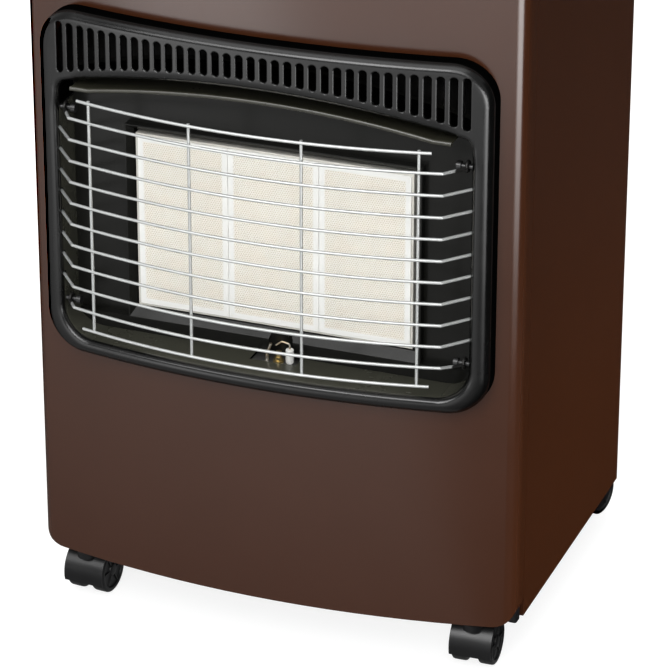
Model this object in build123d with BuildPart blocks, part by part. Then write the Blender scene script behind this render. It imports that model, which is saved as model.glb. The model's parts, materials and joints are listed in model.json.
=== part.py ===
"""Portable gas cabinet heater: a bowed steel cabinet on four twin-wheel castors.

Behind the bowed front panel sit a black bezel, a wire guard and a three-plaque
radiant burner; a bottle bay with a hinged rear door fills the back.
All lengths are in millimetres. +Z is up, the front faces -Y, and the origin is
on the floor under the middle of the heater's outer box.
"""

import math
import os

from build123d import *

# ---------------------------------------------------------------- driving sizes
# Cabinet
WIDTH = 420.0  # outside the two side panels
LID_TOP = 720.0  # floor to the lid's upper face
GROUND_GAP = 46.0  # floor to the panels' lower edge
CASE_DEPTH = 310.0  # bow of the front panel to the rear edge of the side panels
DOOR_BULGE = 90.0  # how far the rear door stands out behind the side panels
SIDE_RETURN = 22.0  # side returns of the front panel, behind its bowed front
LID_HEIGHT = 24.0
SHEET = 1.2  # painted steel sheet
BOW_RADIUS = 830.0  # plan radius of the front panel and of the bezel
CORNER_RADIUS = 12.0  # rounded upright corners of the front panel
FOOT_CORNER_RADIUS = 19.0  # rounded lower corners of the front panel
FLANGE = 10.0  # folded edges of the side and front panels
SEAT = 0.3  # gap left where one piece rests against another

# Bezel and its opening
BEZEL_MARGIN = 19.5  # side of the case to the side of the bezel
BEZEL_BOTTOM = 244.0
BEZEL_TOP = 542.5
BEZEL_PROUD = 17.0  # bezel face in front of the panel
BEZEL_CORNER = 34.0
BEZEL_WALL = 2.2
OPENING_MARGIN = 16.5  # side of the bezel to the side of its opening
OPENING_BOTTOM = 258.5
OPENING_TOP = 504.0  # crown of the arched upper edge
OPENING_ARCH = 630.0
OPENING_LOWER_CORNER = 26.0
OPENING_UPPER_CORNER = 10.0
MOUNT_ROOM = 16.3  # back end of the opening's walls to the front panel's folds
SLOT_COUNT = 35
SLOT_INSET = 3.5  # side of the opening to the middle of the last slot
SLOT_WIDTH = 5.2
SLOT_TOP = 531.5
SLOT_MARGIN = 8.5  # arched opening edge to the slots' lower ends

# Wire guard
WIRE_RADIUS = 1.25
GUARD_MIDDLE_WIRES = 10
GUARD_PITCH = 18.4
GUARD_END_GAP = 16.6
GUARD_MIDDLE_Z = 374.6
GUARD_UPRIGHT_INSET = 35.6  # side of the opening to the outer uprights
GUARD_INNER_SHARE = 0.34  # inner uprights, as a share of the outer ones' distance
GUARD_BOW = 15.9  # how far the guard bows out between its outer uprights
GUARD_OVERHANG = 10.0  # top and bottom wires past the outer uprights
GUARD_KINK_INSET = 17.0  # side of the opening to where the middle wires turn back
GUARD_TURN_BACK = 1.19  # backward travel for each millimetre outward
WELD = 0.4  # how far crossing wires sink into each other

# Burner
PLAQUE_COUNT = 3
PLAQUE_WIDTH = 77.4
PLAQUE_HEIGHT = 147.5
PLAQUE_THICK = 13.0
PLAQUE_GAP = 0.4
PLAQUE_BOTTOM = 284.5
PLAQUE_STEP = 4.7  # the plaques' glowing face in front of the walls' back end
BURNER_RIM = 2.0
WINDOW_GAP = 2.2  # dark gap between the burner rim and the reflector
GASKET = 1.5
BURNER_DEPTH = 30.0
MIXING_TUBE_LENGTH = 84.0
SHIELD_SETBACK = 98.0  # bezel face to the heat shield

# Controls
PANEL_RECESS = 14.0
PANEL_LENGTH = 300.0
PANEL_DEPTH = 86.0
PANEL_SETBACK = 36.0  # bow of the front panel to the control recess
CONTROL_X = 95.0  # knob to the right, igniter to the left of the middle
KNOB_RADIUS = 20.0
KNOB_HEIGHT = 20.0
KNOB_TRAVEL = 4.0
SPINDLE_RADIUS = 4.0
BUTTON_RADIUS = 7.5
BUTTON_TRAVEL = 6.0

SCREW_SHANK = 2.0

# Castors
CASTOR_INSET = 37.0  # side of the case to the stems
FRONT_STEM_Y = 31.0  # bow of the front panel to the front stems
REAR_STEM_Y = 317.0  # bow of the front panel to the rear stems
CASTOR_TRAIL = 14.0
WHEEL_RADIUS = 20.0
WHEEL_WIDTH = 12.4
CASTOR_WIDTH = 36.0
HOOD_RADIUS = 22.8
SKIRT_LOW = 13.2  # floor to the lower edge of the castor hoods
AXLE_RADIUS = 3.0
STEM_RADIUS = 3.5
RUNNING = 0.05  # radial clearance of every shaft in its hole
CASTOR_TURNS = {
    "front_left": -4.5,
    "front_right": 1.5,
    "rear_left": -6.0,
    "rear_right": -12.5,
}


def bow(x, radius=BOW_RADIUS):
    """Setback of a bowed face at the distance x from its crown."""
    return radius - math.sqrt(radius * radius - x * x)


# ---------------------------------------------------------------- derived places
HALF_WIDTH = WIDTH / 2
RETURN_DEPTH = bow(HALF_WIDTH) + SIDE_RETURN
TUNNEL_DEPTH = BEZEL_PROUD + RETURN_DEPTH - MOUNT_ROOM
BEZEL_WIDTH = WIDTH - 2 * BEZEL_MARGIN
OPENING_WIDTH = BEZEL_WIDTH - 2 * OPENING_MARGIN
SLOT_PITCH = (OPENING_WIDTH - 2 * SLOT_INSET) / (SLOT_COUNT - 1)
GUARD_UPRIGHT_X = OPENING_WIDTH / 2 - GUARD_UPRIGHT_INSET
GUARD_INNER_X = GUARD_INNER_SHARE * GUARD_UPRIGHT_X
GUARD_KINK_X = OPENING_WIDTH / 2 - GUARD_KINK_INSET
CASTOR_X = HALF_WIDTH - CASTOR_INSET
GUARD_PROUD = GUARD_BOW + 2 * WIRE_RADIUS - WELD + WIRE_RADIUS
DEPTH = GUARD_PROUD + BEZEL_PROUD + CASE_DEPTH + DOOR_BULGE
FRONT_Y = -DEPTH / 2 + GUARD_PROUD  # crown of the bezel face
PANEL_Y = FRONT_Y + BEZEL_PROUD  # crown of the front panel
SEAM_Y = PANEL_Y + RETURN_DEPTH
REAR_Y = PANEL_Y + CASE_DEPTH
BACK_Y = REAR_Y + DOOR_BULGE
INNER_X = HALF_WIDTH - SHEET
FLANGE_X = INNER_X - FLANGE
PANEL_TOP = LID_TOP - LID_HEIGHT
TUNNEL_Y = FRONT_Y + TUNNEL_DEPTH
REFLECTOR_Y = TUNNEL_Y + SEAT
REFLECTOR_SHEET = 1.0
PLAQUE_Y = TUNNEL_Y - PLAQUE_STEP
PLAQUE_BACK_Y = PLAQUE_Y + PLAQUE_THICK
BURNER_Y = PLAQUE_BACK_Y + GASKET
BURNER_BACK_Y = BURNER_Y + BURNER_DEPTH
SHIELD_Y = FRONT_Y + SHIELD_SETBACK
PLAQUE_PITCH = PLAQUE_WIDTH + PLAQUE_GAP
PLAQUE_FIELD = PLAQUE_COUNT * PLAQUE_PITCH - PLAQUE_GAP
PLAQUE_MIDDLE_Z = PLAQUE_BOTTOM + PLAQUE_HEIGHT / 2
PLAQUE_SIDES = ("left", "centre", "right")


def save(piece, name):
    """Label one finished piece and write it under its node name."""
    piece.part.label = name
    export_step(piece.part, f"parts/{name}.step")


def bowed_area(half_width, front_y, back_y):
    """Plan area with a bowed front edge and a straight back edge."""
    side_y = front_y + bow(half_width)
    with BuildSketch() as area:
        with BuildLine():
            ThreePointArc((-half_width, side_y), (0, front_y), (half_width, side_y))
            Polyline(
                (half_width, side_y),
                (half_width, back_y),
                (-half_width, back_y),
                (-half_width, side_y),
            )
        make_face()
    return area.sketch


def bowed_band(half_width, front_y, thickness):
    """Plan area between two bowed edges, one behind the other."""
    side_y = front_y + bow(half_width)
    with BuildSketch() as area:
        with BuildLine():
            ThreePointArc((-half_width, side_y), (0, front_y), (half_width, side_y))
            Line((half_width, side_y), (half_width, side_y + thickness))
            ThreePointArc(
                (half_width, side_y + thickness),
                (0, front_y + thickness),
                (-half_width, side_y + thickness),
            )
            Line((-half_width, side_y + thickness), (-half_width, side_y))
        make_face()
    return area.sketch


def bezel_area(inset):
    """Front view of the bezel's rounded outline, drawn in by the inset."""
    with BuildSketch() as area:
        with Locations((0, (BEZEL_BOTTOM + BEZEL_TOP) / 2)):
            RectangleRounded(
                BEZEL_WIDTH - 2 * inset,
                BEZEL_TOP - BEZEL_BOTTOM - 2 * inset,
                BEZEL_CORNER - inset,
            )
    return area.sketch


def opening_area(grow):
    """Front view of the arched opening, grown outward by the given amount."""
    half = OPENING_WIDTH / 2
    shoulder = OPENING_TOP - bow(half, OPENING_ARCH)
    with BuildSketch() as area:
        with BuildLine():
            Polyline(
                (-half, shoulder),
                (-half, OPENING_BOTTOM),
                (half, OPENING_BOTTOM),
                (half, shoulder),
            )
            ThreePointArc((half, shoulder), (0, OPENING_TOP), (-half, shoulder))
        make_face()
        fillet(area.vertices().group_by(Axis.Y)[0], OPENING_LOWER_CORNER)
        fillet(
            area.vertices().filter_by(lambda v: v.Y > shoulder - 0.1 and abs(v.X) > half - 1),
            OPENING_UPPER_CORNER,
        )
        if grow:
            offset(amount=grow)
    return area.sketch


# ---------------------------------------------------------------- cabinet sheets
def make_front_panel():
    """Bowed sheet with folded side returns and a window behind the bezel."""
    height = PANEL_TOP - GROUND_GAP
    window_inset = 9.0
    with BuildPart() as front_panel:
        with BuildSketch(Plane.XY.offset(GROUND_GAP)):
            add(bowed_area(HALF_WIDTH, PANEL_Y, SEAM_Y))
        extrude(amount=height)
        uprights = front_panel.edges().filter_by(Axis.Z).group_by(Axis.Y)[0]
        fillet(uprights, CORNER_RADIUS)
        with BuildSketch(Plane.XY.offset(GROUND_GAP)) as hollow:
            add(bowed_area(INNER_X, PANEL_Y + SHEET, SEAM_Y - SHEET))
            fillet(hollow.vertices().group_by(Axis.Y)[0], CORNER_RADIUS - SHEET)
        extrude(amount=height, mode=Mode.SUBTRACT)
        with BuildSketch(Plane.XY.offset(GROUND_GAP)):
            with Locations((0, SEAM_Y - SHEET)):
                Rectangle(2 * FLANGE_X, 4 * SHEET)
        extrude(amount=height, mode=Mode.SUBTRACT)
        with BuildSketch(Plane.XZ.offset(-SEAM_Y)):
            add(bezel_area(window_inset))
        extrude(amount=RETURN_DEPTH + SHEET, mode=Mode.SUBTRACT)
        with BuildSketch(Plane.XZ.offset(-SEAM_Y)) as face:
            with Locations((0, (GROUND_GAP + PANEL_TOP) / 2)):
                Rectangle(WIDTH, height)
            fillet(face.vertices().group_by(Axis.Y)[0], FOOT_CORNER_RADIUS)
        extrude(amount=RETURN_DEPTH + SHEET, mode=Mode.INTERSECT)
    save(front_panel, "front_panel")


def make_side_panel(name, side):
    """Side sheet with a folded flange at its front and rear edges."""
    front_y = SEAM_Y + 2 * SEAT
    middle_y = (front_y + REAR_Y) / 2
    length = REAR_Y - front_y
    with BuildPart() as panel:
        with BuildSketch(Plane.XY.offset(GROUND_GAP)):
            with Locations((side * (HALF_WIDTH + FLANGE_X) / 2, middle_y)):
                Rectangle(HALF_WIDTH - FLANGE_X, length)
            with Locations((side * (INNER_X + FLANGE_X) / 2, middle_y)):
                Rectangle(FLANGE, length - 2 * SHEET, mode=Mode.SUBTRACT)
        extrude(amount=PANEL_TOP - GROUND_GAP)
        with BuildSketch(Plane.XZ.offset(-REAR_Y)):
            for z in REAR_SCREWS:
                with Locations((side * REAR_SCREW_X, z)):
                    Circle(SCREW_SHANK + 0.3)
        extrude(amount=SHEET, mode=Mode.SUBTRACT)
    save(panel, name)


def make_lid():
    """Shallow lid with the cabinet's plan, rounded edges and the control cut-out."""
    edge_radius = 8.0
    with BuildPart() as lid:
        with BuildSketch(Plane.XY.offset(PANEL_TOP)):
            add(bowed_area(HALF_WIDTH, PANEL_Y, REAR_Y))
        extrude(amount=LID_HEIGHT)
        uprights = lid.edges().filter_by(Axis.Z).group_by(Axis.Y)[0]
        fillet(uprights, CORNER_RADIUS)
        fillet(lid.faces().sort_by(Axis.Z)[-1].edges(), edge_radius)
        offset(amount=-SHEET, openings=lid.faces().sort_by(Axis.Z)[0])
        with BuildSketch(Plane.XY.offset(LID_TOP)):
            with Locations((0, CONTROL_Y)):
                Rectangle(PANEL_LENGTH, PANEL_DEPTH)
        extrude(amount=-2 * SHEET, mode=Mode.SUBTRACT)
    save(lid, "lid")


CONTROL_Y = PANEL_Y + PANEL_SETBACK + PANEL_DEPTH / 2
PANEL_WALL = 2.0
PANEL_LIP = 4.0
PANEL_FLOOR_Z = LID_TOP - PANEL_RECESS


def make_control_panel():
    """Black recessed tray that hangs in the lid and carries the controls."""
    lip_thick = 1.6
    corner = 5.0
    length = PANEL_LENGTH - 2 * SEAT
    depth = PANEL_DEPTH - 2 * SEAT
    with BuildPart() as control_panel:
        with BuildSketch(Plane.XY.offset(LID_TOP)):
            with Locations((0, CONTROL_Y)):
                RectangleRounded(length + 2 * PANEL_LIP, depth + 2 * PANEL_LIP, corner)
        extrude(amount=lip_thick)
        fillet(control_panel.faces().sort_by(Axis.Z)[-1].edges(), 1.0)
        with BuildSketch(Plane.XY.offset(PANEL_FLOOR_Z - PANEL_WALL)):
            with Locations((0, CONTROL_Y)):
                Rectangle(length, depth)
        extrude(amount=PANEL_RECESS + PANEL_WALL)
        with BuildSketch(Plane.XY.offset(PANEL_FLOOR_Z)):
            with Locations((0, CONTROL_Y)):
                RectangleRounded(length - 2 * PANEL_WALL, depth - 2 * PANEL_WALL, corner)
        extrude(amount=PANEL_RECESS + lip_thick, mode=Mode.SUBTRACT)
        with BuildSketch(Plane.XY.offset(PANEL_FLOOR_Z)):
            with Locations((CONTROL_X, CONTROL_Y)):
                Circle(SPINDLE_RADIUS + 1.0)
            with Locations((-CONTROL_X, CONTROL_Y)):
                Circle(BUTTON_RADIUS + 0.5)
        extrude(amount=-PANEL_WALL, mode=Mode.SUBTRACT)
    save(control_panel, "control_panel")


TRAY_SHEET = 1.5
TRAY_BOTTOM = GROUND_GAP + 1.0
TRAY_FLOOR = TRAY_BOTTOM + TRAY_SHEET
TRAY_RIM = 25.0
TRAY_X = FLANGE_X - SEAT
TRAY_FRONT_Y = PANEL_Y + SHEET + SEAT
TRAY_REAR_RIM = 6.0
DOOR_EDGE_X = HALF_WIDTH - 10.5
DOOR_BACK_X = DOOR_EDGE_X - 34.5
DOOR_STRAIGHT = 14.0
PLINTH_RADIUS = 130.0
PLINTH_HEIGHT = 2.0
BOTTLE_Y = (SHIELD_Y + SHEET + BACK_Y - SHEET) / 2
BUSH_RADIUS = 6.5
STEMS = (
    (-CASTOR_X, PANEL_Y + FRONT_STEM_Y),
    (CASTOR_X, PANEL_Y + FRONT_STEM_Y),
    (-CASTOR_X, PANEL_Y + REAR_STEM_Y),
    (CASTOR_X, PANEL_Y + REAR_STEM_Y),
)


def door_area(inset, front_y):
    """Plan of the rear door: short straight sides, then tapered to the back."""
    edge_x = DOOR_EDGE_X - inset
    back_x = DOOR_BACK_X - inset * 0.8
    with BuildSketch() as area:
        with BuildLine():
            Polyline(
                (-edge_x, front_y),
                (-edge_x, REAR_Y + DOOR_STRAIGHT),
                (-back_x, BACK_Y - inset),
                (back_x, BACK_Y - inset),
                (edge_x, REAR_Y + DOOR_STRAIGHT),
                (edge_x, front_y),
                close=True,
            )
        make_face()
        fillet(area.vertices().group_by(Axis.Y)[-1], 24.0 - inset)
        fillet(area.vertices().group_by(Axis.Y)[1], 12.0 - inset)
    return area.sketch


def make_base_tray():
    """Floor pan with an upturned rim and a raised round plinth for the bottle."""
    with BuildPart() as base_tray:
        with BuildSketch(Plane.XY.offset(TRAY_BOTTOM)):
            add(bowed_area(TRAY_X, TRAY_FRONT_Y, REAR_Y))
            add(door_area(1.0, REAR_Y - 1.0))
        extrude(amount=TRAY_RIM)
        top = base_tray.faces().sort_by(Axis.Z)[-1]
        offset(amount=-TRAY_SHEET, openings=top)
        with BuildSketch(Plane.XY.offset(TRAY_FLOOR + TRAY_REAR_RIM)):
            with Locations((0, BACK_Y)):
                Rectangle(WIDTH, 2 * (BACK_Y - REAR_Y + 2 * TRAY_SHEET))
        extrude(amount=TRAY_RIM, mode=Mode.SUBTRACT)
        with BuildSketch(Plane.XY.offset(TRAY_FLOOR)):
            with Locations((0, BOTTLE_Y)):
                Circle(PLINTH_RADIUS)
        extrude(amount=PLINTH_HEIGHT, taper=45)
        with BuildSketch(Plane.XY.offset(TRAY_BOTTOM)):
            with Locations(STEMS):
                Circle(BUSH_RADIUS + 0.3)
        extrude(amount=TRAY_SHEET, mode=Mode.SUBTRACT)
    save(base_tray, "base_tray")


def make_corner_blocks():
    """Moulded blocks that fill the folded lower corners; one shows at each seam."""
    gap = SEAT
    height = 18.0
    depth = 10.0
    low = GROUND_GAP - 2.0
    block_x = (INNER_X + FLANGE_X) / 2
    block_width = FLANGE - 2 * gap - 0.6
    front_y = SEAM_Y - SHEET - gap - depth / 2
    rear_y = REAR_Y - SHEET - gap - depth / 2
    with BuildPart() as corner_blocks:
        with BuildSketch(Plane.XY.offset(low)):
            with Locations(
                (block_x, front_y), (-block_x, front_y), (block_x, rear_y), (-block_x, rear_y)
            ):
                RectangleRounded(block_width, depth, 2.5)
        extrude(amount=height)
        fillet(corner_blocks.faces().group_by(Axis.Z)[0].edges(), 1.8)
    save(corner_blocks, "corner_blocks")


# ---------------------------------------------------------------- rear of the case
DOOR_TOP = LID_TOP - 112.0
DOOR_BOTTOM = TRAY_FLOOR + TRAY_REAR_RIM + 1.5
DOOR_GAP = 1.6
HINGE_X = -(DOOR_EDGE_X - 6.0)
HINGE_Y = REAR_Y + 7.0
HINGE_PIN_RADIUS = 2.5
HINGE_COLLAR = 3.3
LUG_THICK = 2.0
PULL_X = DOOR_BACK_X - 40.0
PULL_Z = DOOR_TOP - 208.0
PULL_WIDTH = 26.0
PULL_HEIGHT = 90.0
PULL_DEPTH = 12.0
UPPER_PANEL_BOTTOM = DOOR_TOP + 4.0
UPPER_PANEL_BACK_Y = REAR_Y + SEAT + SHEET
REAR_SCREW_X = HALF_WIDTH - 6.0
REAR_SCREWS = (UPPER_PANEL_BOTTOM + 14.0, PANEL_TOP - 12.0)


def make_rear_door():
    """Bulged door around the bottle, with air slots, a pull and hinge holes."""
    slot_length = 46.0
    slot_rows = (DOOR_BOTTOM + 30.0, DOOR_BOTTOM + 46.0, DOOR_TOP - 52.0, DOOR_TOP - 36.0)
    height = DOOR_TOP - DOOR_BOTTOM
    tab = 13.0
    with BuildPart() as rear_door:
        with BuildSketch(Plane.XY.offset(DOOR_BOTTOM)):
            add(door_area(0, REAR_Y + DOOR_GAP))
        extrude(amount=height)
        with BuildSketch(Plane.XY.offset(DOOR_BOTTOM)):
            add(door_area(SHEET, REAR_Y + DOOR_GAP))
        extrude(amount=height - SHEET, mode=Mode.SUBTRACT)
        for row in slot_rows:
            with BuildSketch(Plane.XZ.offset(-BACK_Y)):
                with Locations((0, row)):
                    with GridLocations(1.35 * slot_length, 1, 4, 1):
                        SlotOverall(slot_length, 6.0)
            extrude(amount=2 * SHEET, mode=Mode.SUBTRACT)
        # hinge tab across the lower left corner
        with BuildSketch(Plane.XY.offset(DOOR_BOTTOM)):
            with Locations((-DOOR_EDGE_X + SHEET / 2 + tab / 2, REAR_Y + DOOR_GAP + tab / 2)):
                Rectangle(tab, tab)
        extrude(amount=LUG_THICK)
        with BuildSketch(Plane.XY.offset(DOOR_BOTTOM)):
            with Locations((HINGE_X, HINGE_Y)):
                Circle(HINGE_PIN_RADIUS + RUNNING)
        extrude(amount=height, mode=Mode.SUBTRACT)
        # finger cup pressed into the back face
        with BuildSketch(Plane.XZ.offset(-BACK_Y)):
            with Locations((PULL_X, PULL_Z)):
                RectangleRounded(PULL_WIDTH + 2 * SHEET, PULL_HEIGHT + 2 * SHEET, 7.0)
        extrude(amount=PULL_DEPTH + SHEET)
        with BuildSketch(Plane.XZ.offset(-BACK_Y)):
            with Locations((PULL_X, PULL_Z)):
                RectangleRounded(PULL_WIDTH, PULL_HEIGHT, 6.0)
        extrude(amount=PULL_DEPTH, mode=Mode.SUBTRACT)
    save(rear_door, "rear_door")


def make_rear_upper_panel():
    """Upper back sheet with two rows of louvre slots and a folded lower edge."""
    height = PANEL_TOP - SEAT - UPPER_PANEL_BOTTOM
    with BuildPart() as rear_upper_panel:
        with BuildSketch(Plane.XZ.offset(-UPPER_PANEL_BACK_Y)):
            with Locations((0, UPPER_PANEL_BOTTOM + height / 2)):
                Rectangle(WIDTH - 3.0, height)
                with Locations((0, 4.0)):
                    with GridLocations(52.0, 20.0, 6, 2):
                        SlotOverall(40.0, 5.0, mode=Mode.SUBTRACT)
            with Locations(*[(s * REAR_SCREW_X, z) for s in (-1, 1) for z in REAR_SCREWS]):
                Circle(SCREW_SHANK + 0.3, mode=Mode.SUBTRACT)
        extrude(amount=SHEET)
        with BuildSketch(Plane.XY.offset(UPPER_PANEL_BOTTOM)):
            with Locations((0, UPPER_PANEL_BACK_Y - FLANGE / 2)):
                Rectangle(2 * (FLANGE_X - 2.0), FLANGE)
        extrude(amount=SHEET)
    save(rear_upper_panel, "rear_upper_panel")


def make_rear_screws():
    """Four screws that hold the upper back sheet to the side panels."""
    with BuildPart() as rear_screws:
        for z in REAR_SCREWS:
            for side in (-1, 1):
                with BuildSketch(Plane.XZ.offset(-UPPER_PANEL_BACK_Y)):
                    with Locations((side * REAR_SCREW_X, z)):
                        Circle(3.6)
                extrude(amount=-2.2)
                with BuildSketch(Plane.XZ.offset(-UPPER_PANEL_BACK_Y)):
                    with Locations((side * REAR_SCREW_X, z)):
                        Circle(SCREW_SHANK)
                extrude(amount=6.0)
        fillet(rear_screws.faces().group_by(Axis.Y)[-1].edges(), 1.0)
    save(rear_screws, "rear_screws")


def make_door_hinge():
    """Upper hinge lug on the back sheet, and the two pins the door turns on."""
    lug_z = DOOR_TOP + SEAT
    lug_width = 12.0
    lug_x = HINGE_X + 1.0
    with BuildPart() as lug:
        with BuildSketch(Plane.XY.offset(lug_z)):
            with Locations((lug_x, UPPER_PANEL_BACK_Y + 6.5)):
                Rectangle(lug_width, 13.0)
            with Locations((HINGE_X, HINGE_Y)):
                Circle(HINGE_PIN_RADIUS + RUNNING, mode=Mode.SUBTRACT)
        extrude(amount=LUG_THICK)
        with BuildSketch(Plane.XY.offset(lug_z)):
            with Locations((lug_x, UPPER_PANEL_BACK_Y + LUG_THICK / 2)):
                Rectangle(lug_width, LUG_THICK)
            with Locations((HINGE_X, HINGE_Y)):
                Circle(HINGE_COLLAR + 0.5, mode=Mode.SUBTRACT)
        extrude(amount=22.0)
    save(lug, "door_hinge_lug")
    reach = 7.0
    with BuildPart() as pins:
        with BuildSketch(Plane.XY.offset(DOOR_TOP - SHEET - reach)):
            with Locations((HINGE_X, HINGE_Y)):
                Circle(HINGE_PIN_RADIUS)
        extrude(amount=SHEET + reach + SEAT + LUG_THICK)
        with BuildSketch(Plane.XY.offset(lug_z + LUG_THICK)):
            with Locations((HINGE_X, HINGE_Y)):
                Circle(HINGE_COLLAR)
        extrude(amount=2.0)
        with BuildSketch(Plane.XY.offset(TRAY_FLOOR)):
            with Locations((HINGE_X, HINGE_Y)):
                Circle(HINGE_COLLAR)
        extrude(amount=DOOR_BOTTOM - SEAT - TRAY_FLOOR)
        with BuildSketch(Plane.XY.offset(DOOR_BOTTOM - SEAT)):
            with Locations((HINGE_X, HINGE_Y)):
                Circle(HINGE_PIN_RADIUS)
        extrude(amount=SEAT + LUG_THICK + reach)
    save(pins, "door_hinge_pins")


def make_door_catch():
    """Spring clip behind the right rear fold; its bead holds the door's edge."""
    width = 12.0
    strip = 1.2
    bead = 1.1
    strip_x = DOOR_EDGE_X - SHEET - SEAT - 2 * bead
    with BuildPart() as door_catch:
        with BuildSketch(Plane.XY.offset((DOOR_BOTTOM + DOOR_TOP - width) / 2)):
            with Locations((strip_x + 4.5, REAR_Y - SHEET - SEAT - strip / 2)):
                Rectangle(9.0 + strip, strip)
            with Locations((strip_x, REAR_Y + 2.5)):
                Rectangle(strip, 9.0)
            with Locations((strip_x + bead, REAR_Y + 6.0)):
                Circle(bead)
        extrude(amount=width)
    save(door_catch, "door_catch")


# ---------------------------------------------------------------- bezel and guard
def guard_y(x):
    """Centre line of the guard's horizontal wires at the distance x from the middle."""
    radius = (GUARD_UPRIGHT_X**2 + GUARD_BOW**2) / (2 * GUARD_BOW)
    return FRONT_Y - GUARD_BOW - 2 * WIRE_RADIUS + WELD + bow(x, radius)


def guard_heights():
    """Heights of the middle wires, which reach into the bezel walls."""
    first = GUARD_MIDDLE_Z - GUARD_PITCH * (GUARD_MIDDLE_WIRES - 1) / 2
    return [first + GUARD_PITCH * i for i in range(GUARD_MIDDLE_WIRES)]


GUARD_BITE = 1.2  # how far the wire ends reach into the bezel walls
GUARD_END_X = OPENING_WIDTH / 2 + GUARD_BITE
GUARD_END_Y = guard_y(GUARD_KINK_X) + GUARD_TURN_BACK * (GUARD_END_X - GUARD_KINK_X)
EYE_RADIUS = 4.0  # centre line of the eyes that end the outermost middle wires
EYE_X = OPENING_WIDTH / 2 - 4.5
EYE_Y = FRONT_Y + 25.5
EYE_HEIGHTS = (guard_heights()[0] - 3.6, guard_heights()[-1] - 0.8)
SCREW_HEAD_X = OPENING_WIDTH / 2 - 13.2
PILOT_X = 7.0
PILOT_Y = TUNNEL_Y - 12.2
PILOT_BAY_LEFT = -15.0
PILOT_BAY_RIGHT = 25.0
PILOT_BAY_FRONT = TUNNEL_Y - 20.7


def make_bezel():
    """Black frame: bowed face with air slots, rim, and the walls of its opening."""
    reach = TUNNEL_DEPTH + 2
    lip_radius = 7.0
    edge_radius = 4.0
    slot_radius = 0.7
    wall_x = OPENING_WIDTH / 2 + BEZEL_WALL + 1.0
    with BuildPart() as tunnel:
        with BuildSketch(Plane.XZ.offset(-TUNNEL_Y)):
            add(opening_area(BEZEL_WALL))
            add(opening_area(0), mode=Mode.SUBTRACT)
        extrude(amount=reach)
        with BuildSketch(Plane.XY.offset(BEZEL_BOTTOM)):
            add(bowed_area(OPENING_WIDTH / 2 + 10, FRONT_Y + edge_radius + 2.0, TUNNEL_Y))
        extrude(amount=BEZEL_TOP - BEZEL_BOTTOM, mode=Mode.INTERSECT)
    with BuildPart() as cavity:
        with BuildSketch(Plane.XZ.offset(-TUNNEL_Y)):
            add(bezel_area(BEZEL_WALL))
            add(opening_area(BEZEL_WALL), mode=Mode.SUBTRACT)
        extrude(amount=reach)
        with BuildSketch(Plane.XY.offset(BEZEL_BOTTOM)):
            add(bowed_area(BEZEL_WIDTH / 2, FRONT_Y + BEZEL_WALL, TUNNEL_Y))
        extrude(amount=BEZEL_TOP - BEZEL_BOTTOM, mode=Mode.INTERSECT)
        face = cavity.faces().filter_by(GeomType.CYLINDER).sort_by(SortBy.AREA)[-2:].sort_by(Axis.Y)[0]
        fillet(face.outer_wire().edges(), lip_radius - BEZEL_WALL)
    with BuildPart() as bezel:
        with BuildSketch(Plane.XZ.offset(-TUNNEL_Y)):
            add(bezel_area(0))
            add(opening_area(0), mode=Mode.SUBTRACT)
        extrude(amount=reach)
        with BuildSketch(Plane.XY.offset(BEZEL_BOTTOM - 1)):
            add(bowed_band(HALF_WIDTH, FRONT_Y, BEZEL_PROUD - SEAT))
        extrude(amount=BEZEL_TOP - BEZEL_BOTTOM + 2, mode=Mode.INTERSECT)
        face = bezel.faces().filter_by(GeomType.CYLINDER).sort_by(SortBy.AREA)[-2:].sort_by(Axis.Y)[0]
        fillet(face.outer_wire().edges(), lip_radius)
        face = bezel.faces().filter_by(GeomType.CYLINDER).sort_by(SortBy.AREA)[-2:].sort_by(Axis.Y)[0]
        fillet(face.inner_wires()[0].edges(), edge_radius)
        add(cavity.part, mode=Mode.SUBTRACT)
        add(tunnel.part)
        with BuildSketch(Plane.XZ.offset(-FRONT_Y + 2)):
            for i in range(SLOT_COUNT):
                x = SLOT_PITCH * (i - (SLOT_COUNT - 1) / 2)
                low = OPENING_TOP - bow(x, OPENING_ARCH) + SLOT_MARGIN
                with Locations((x, (low + SLOT_TOP) / 2)):
                    SlotOverall(SLOT_TOP - low, SLOT_WIDTH, rotation=90)
        extrude(amount=-(bow(BEZEL_WIDTH / 2) + BEZEL_WALL + 2), mode=Mode.SUBTRACT)
        face = bezel.faces().filter_by(GeomType.CYLINDER).sort_by(SortBy.AREA)[-2:].sort_by(Axis.Y)[0]
        slots = [wire for wire in face.inner_wires() if wire.bounding_box().size.X < 2 * SLOT_WIDTH]
        fillet([edge for slot in slots for edge in slot.edges()], slot_radius)
        # holes for the wire ends, the guard screws and the pilot bay
        with BuildSketch(Plane.YZ.offset(-wall_x)):
            for z in guard_heights()[1:-1]:
                with Locations((GUARD_END_Y - 0.7, z)):
                    Circle(2.8)
            for z in EYE_HEIGHTS:
                with Locations((EYE_Y, z)):
                    Circle(SCREW_SHANK + 0.2)
        extrude(amount=2 * wall_x, mode=Mode.SUBTRACT)
        with BuildSketch(Plane.XY.offset(OPENING_BOTTOM + 1)):
            with Locations(((PILOT_BAY_LEFT + PILOT_BAY_RIGHT) / 2, (PILOT_BAY_FRONT + TUNNEL_Y) / 2)):
                Rectangle(PILOT_BAY_RIGHT - PILOT_BAY_LEFT, TUNNEL_Y - PILOT_BAY_FRONT + 0.01)
        extrude(amount=-BEZEL_WALL - 2, mode=Mode.SUBTRACT)
    save(bezel, "bezel")


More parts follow.
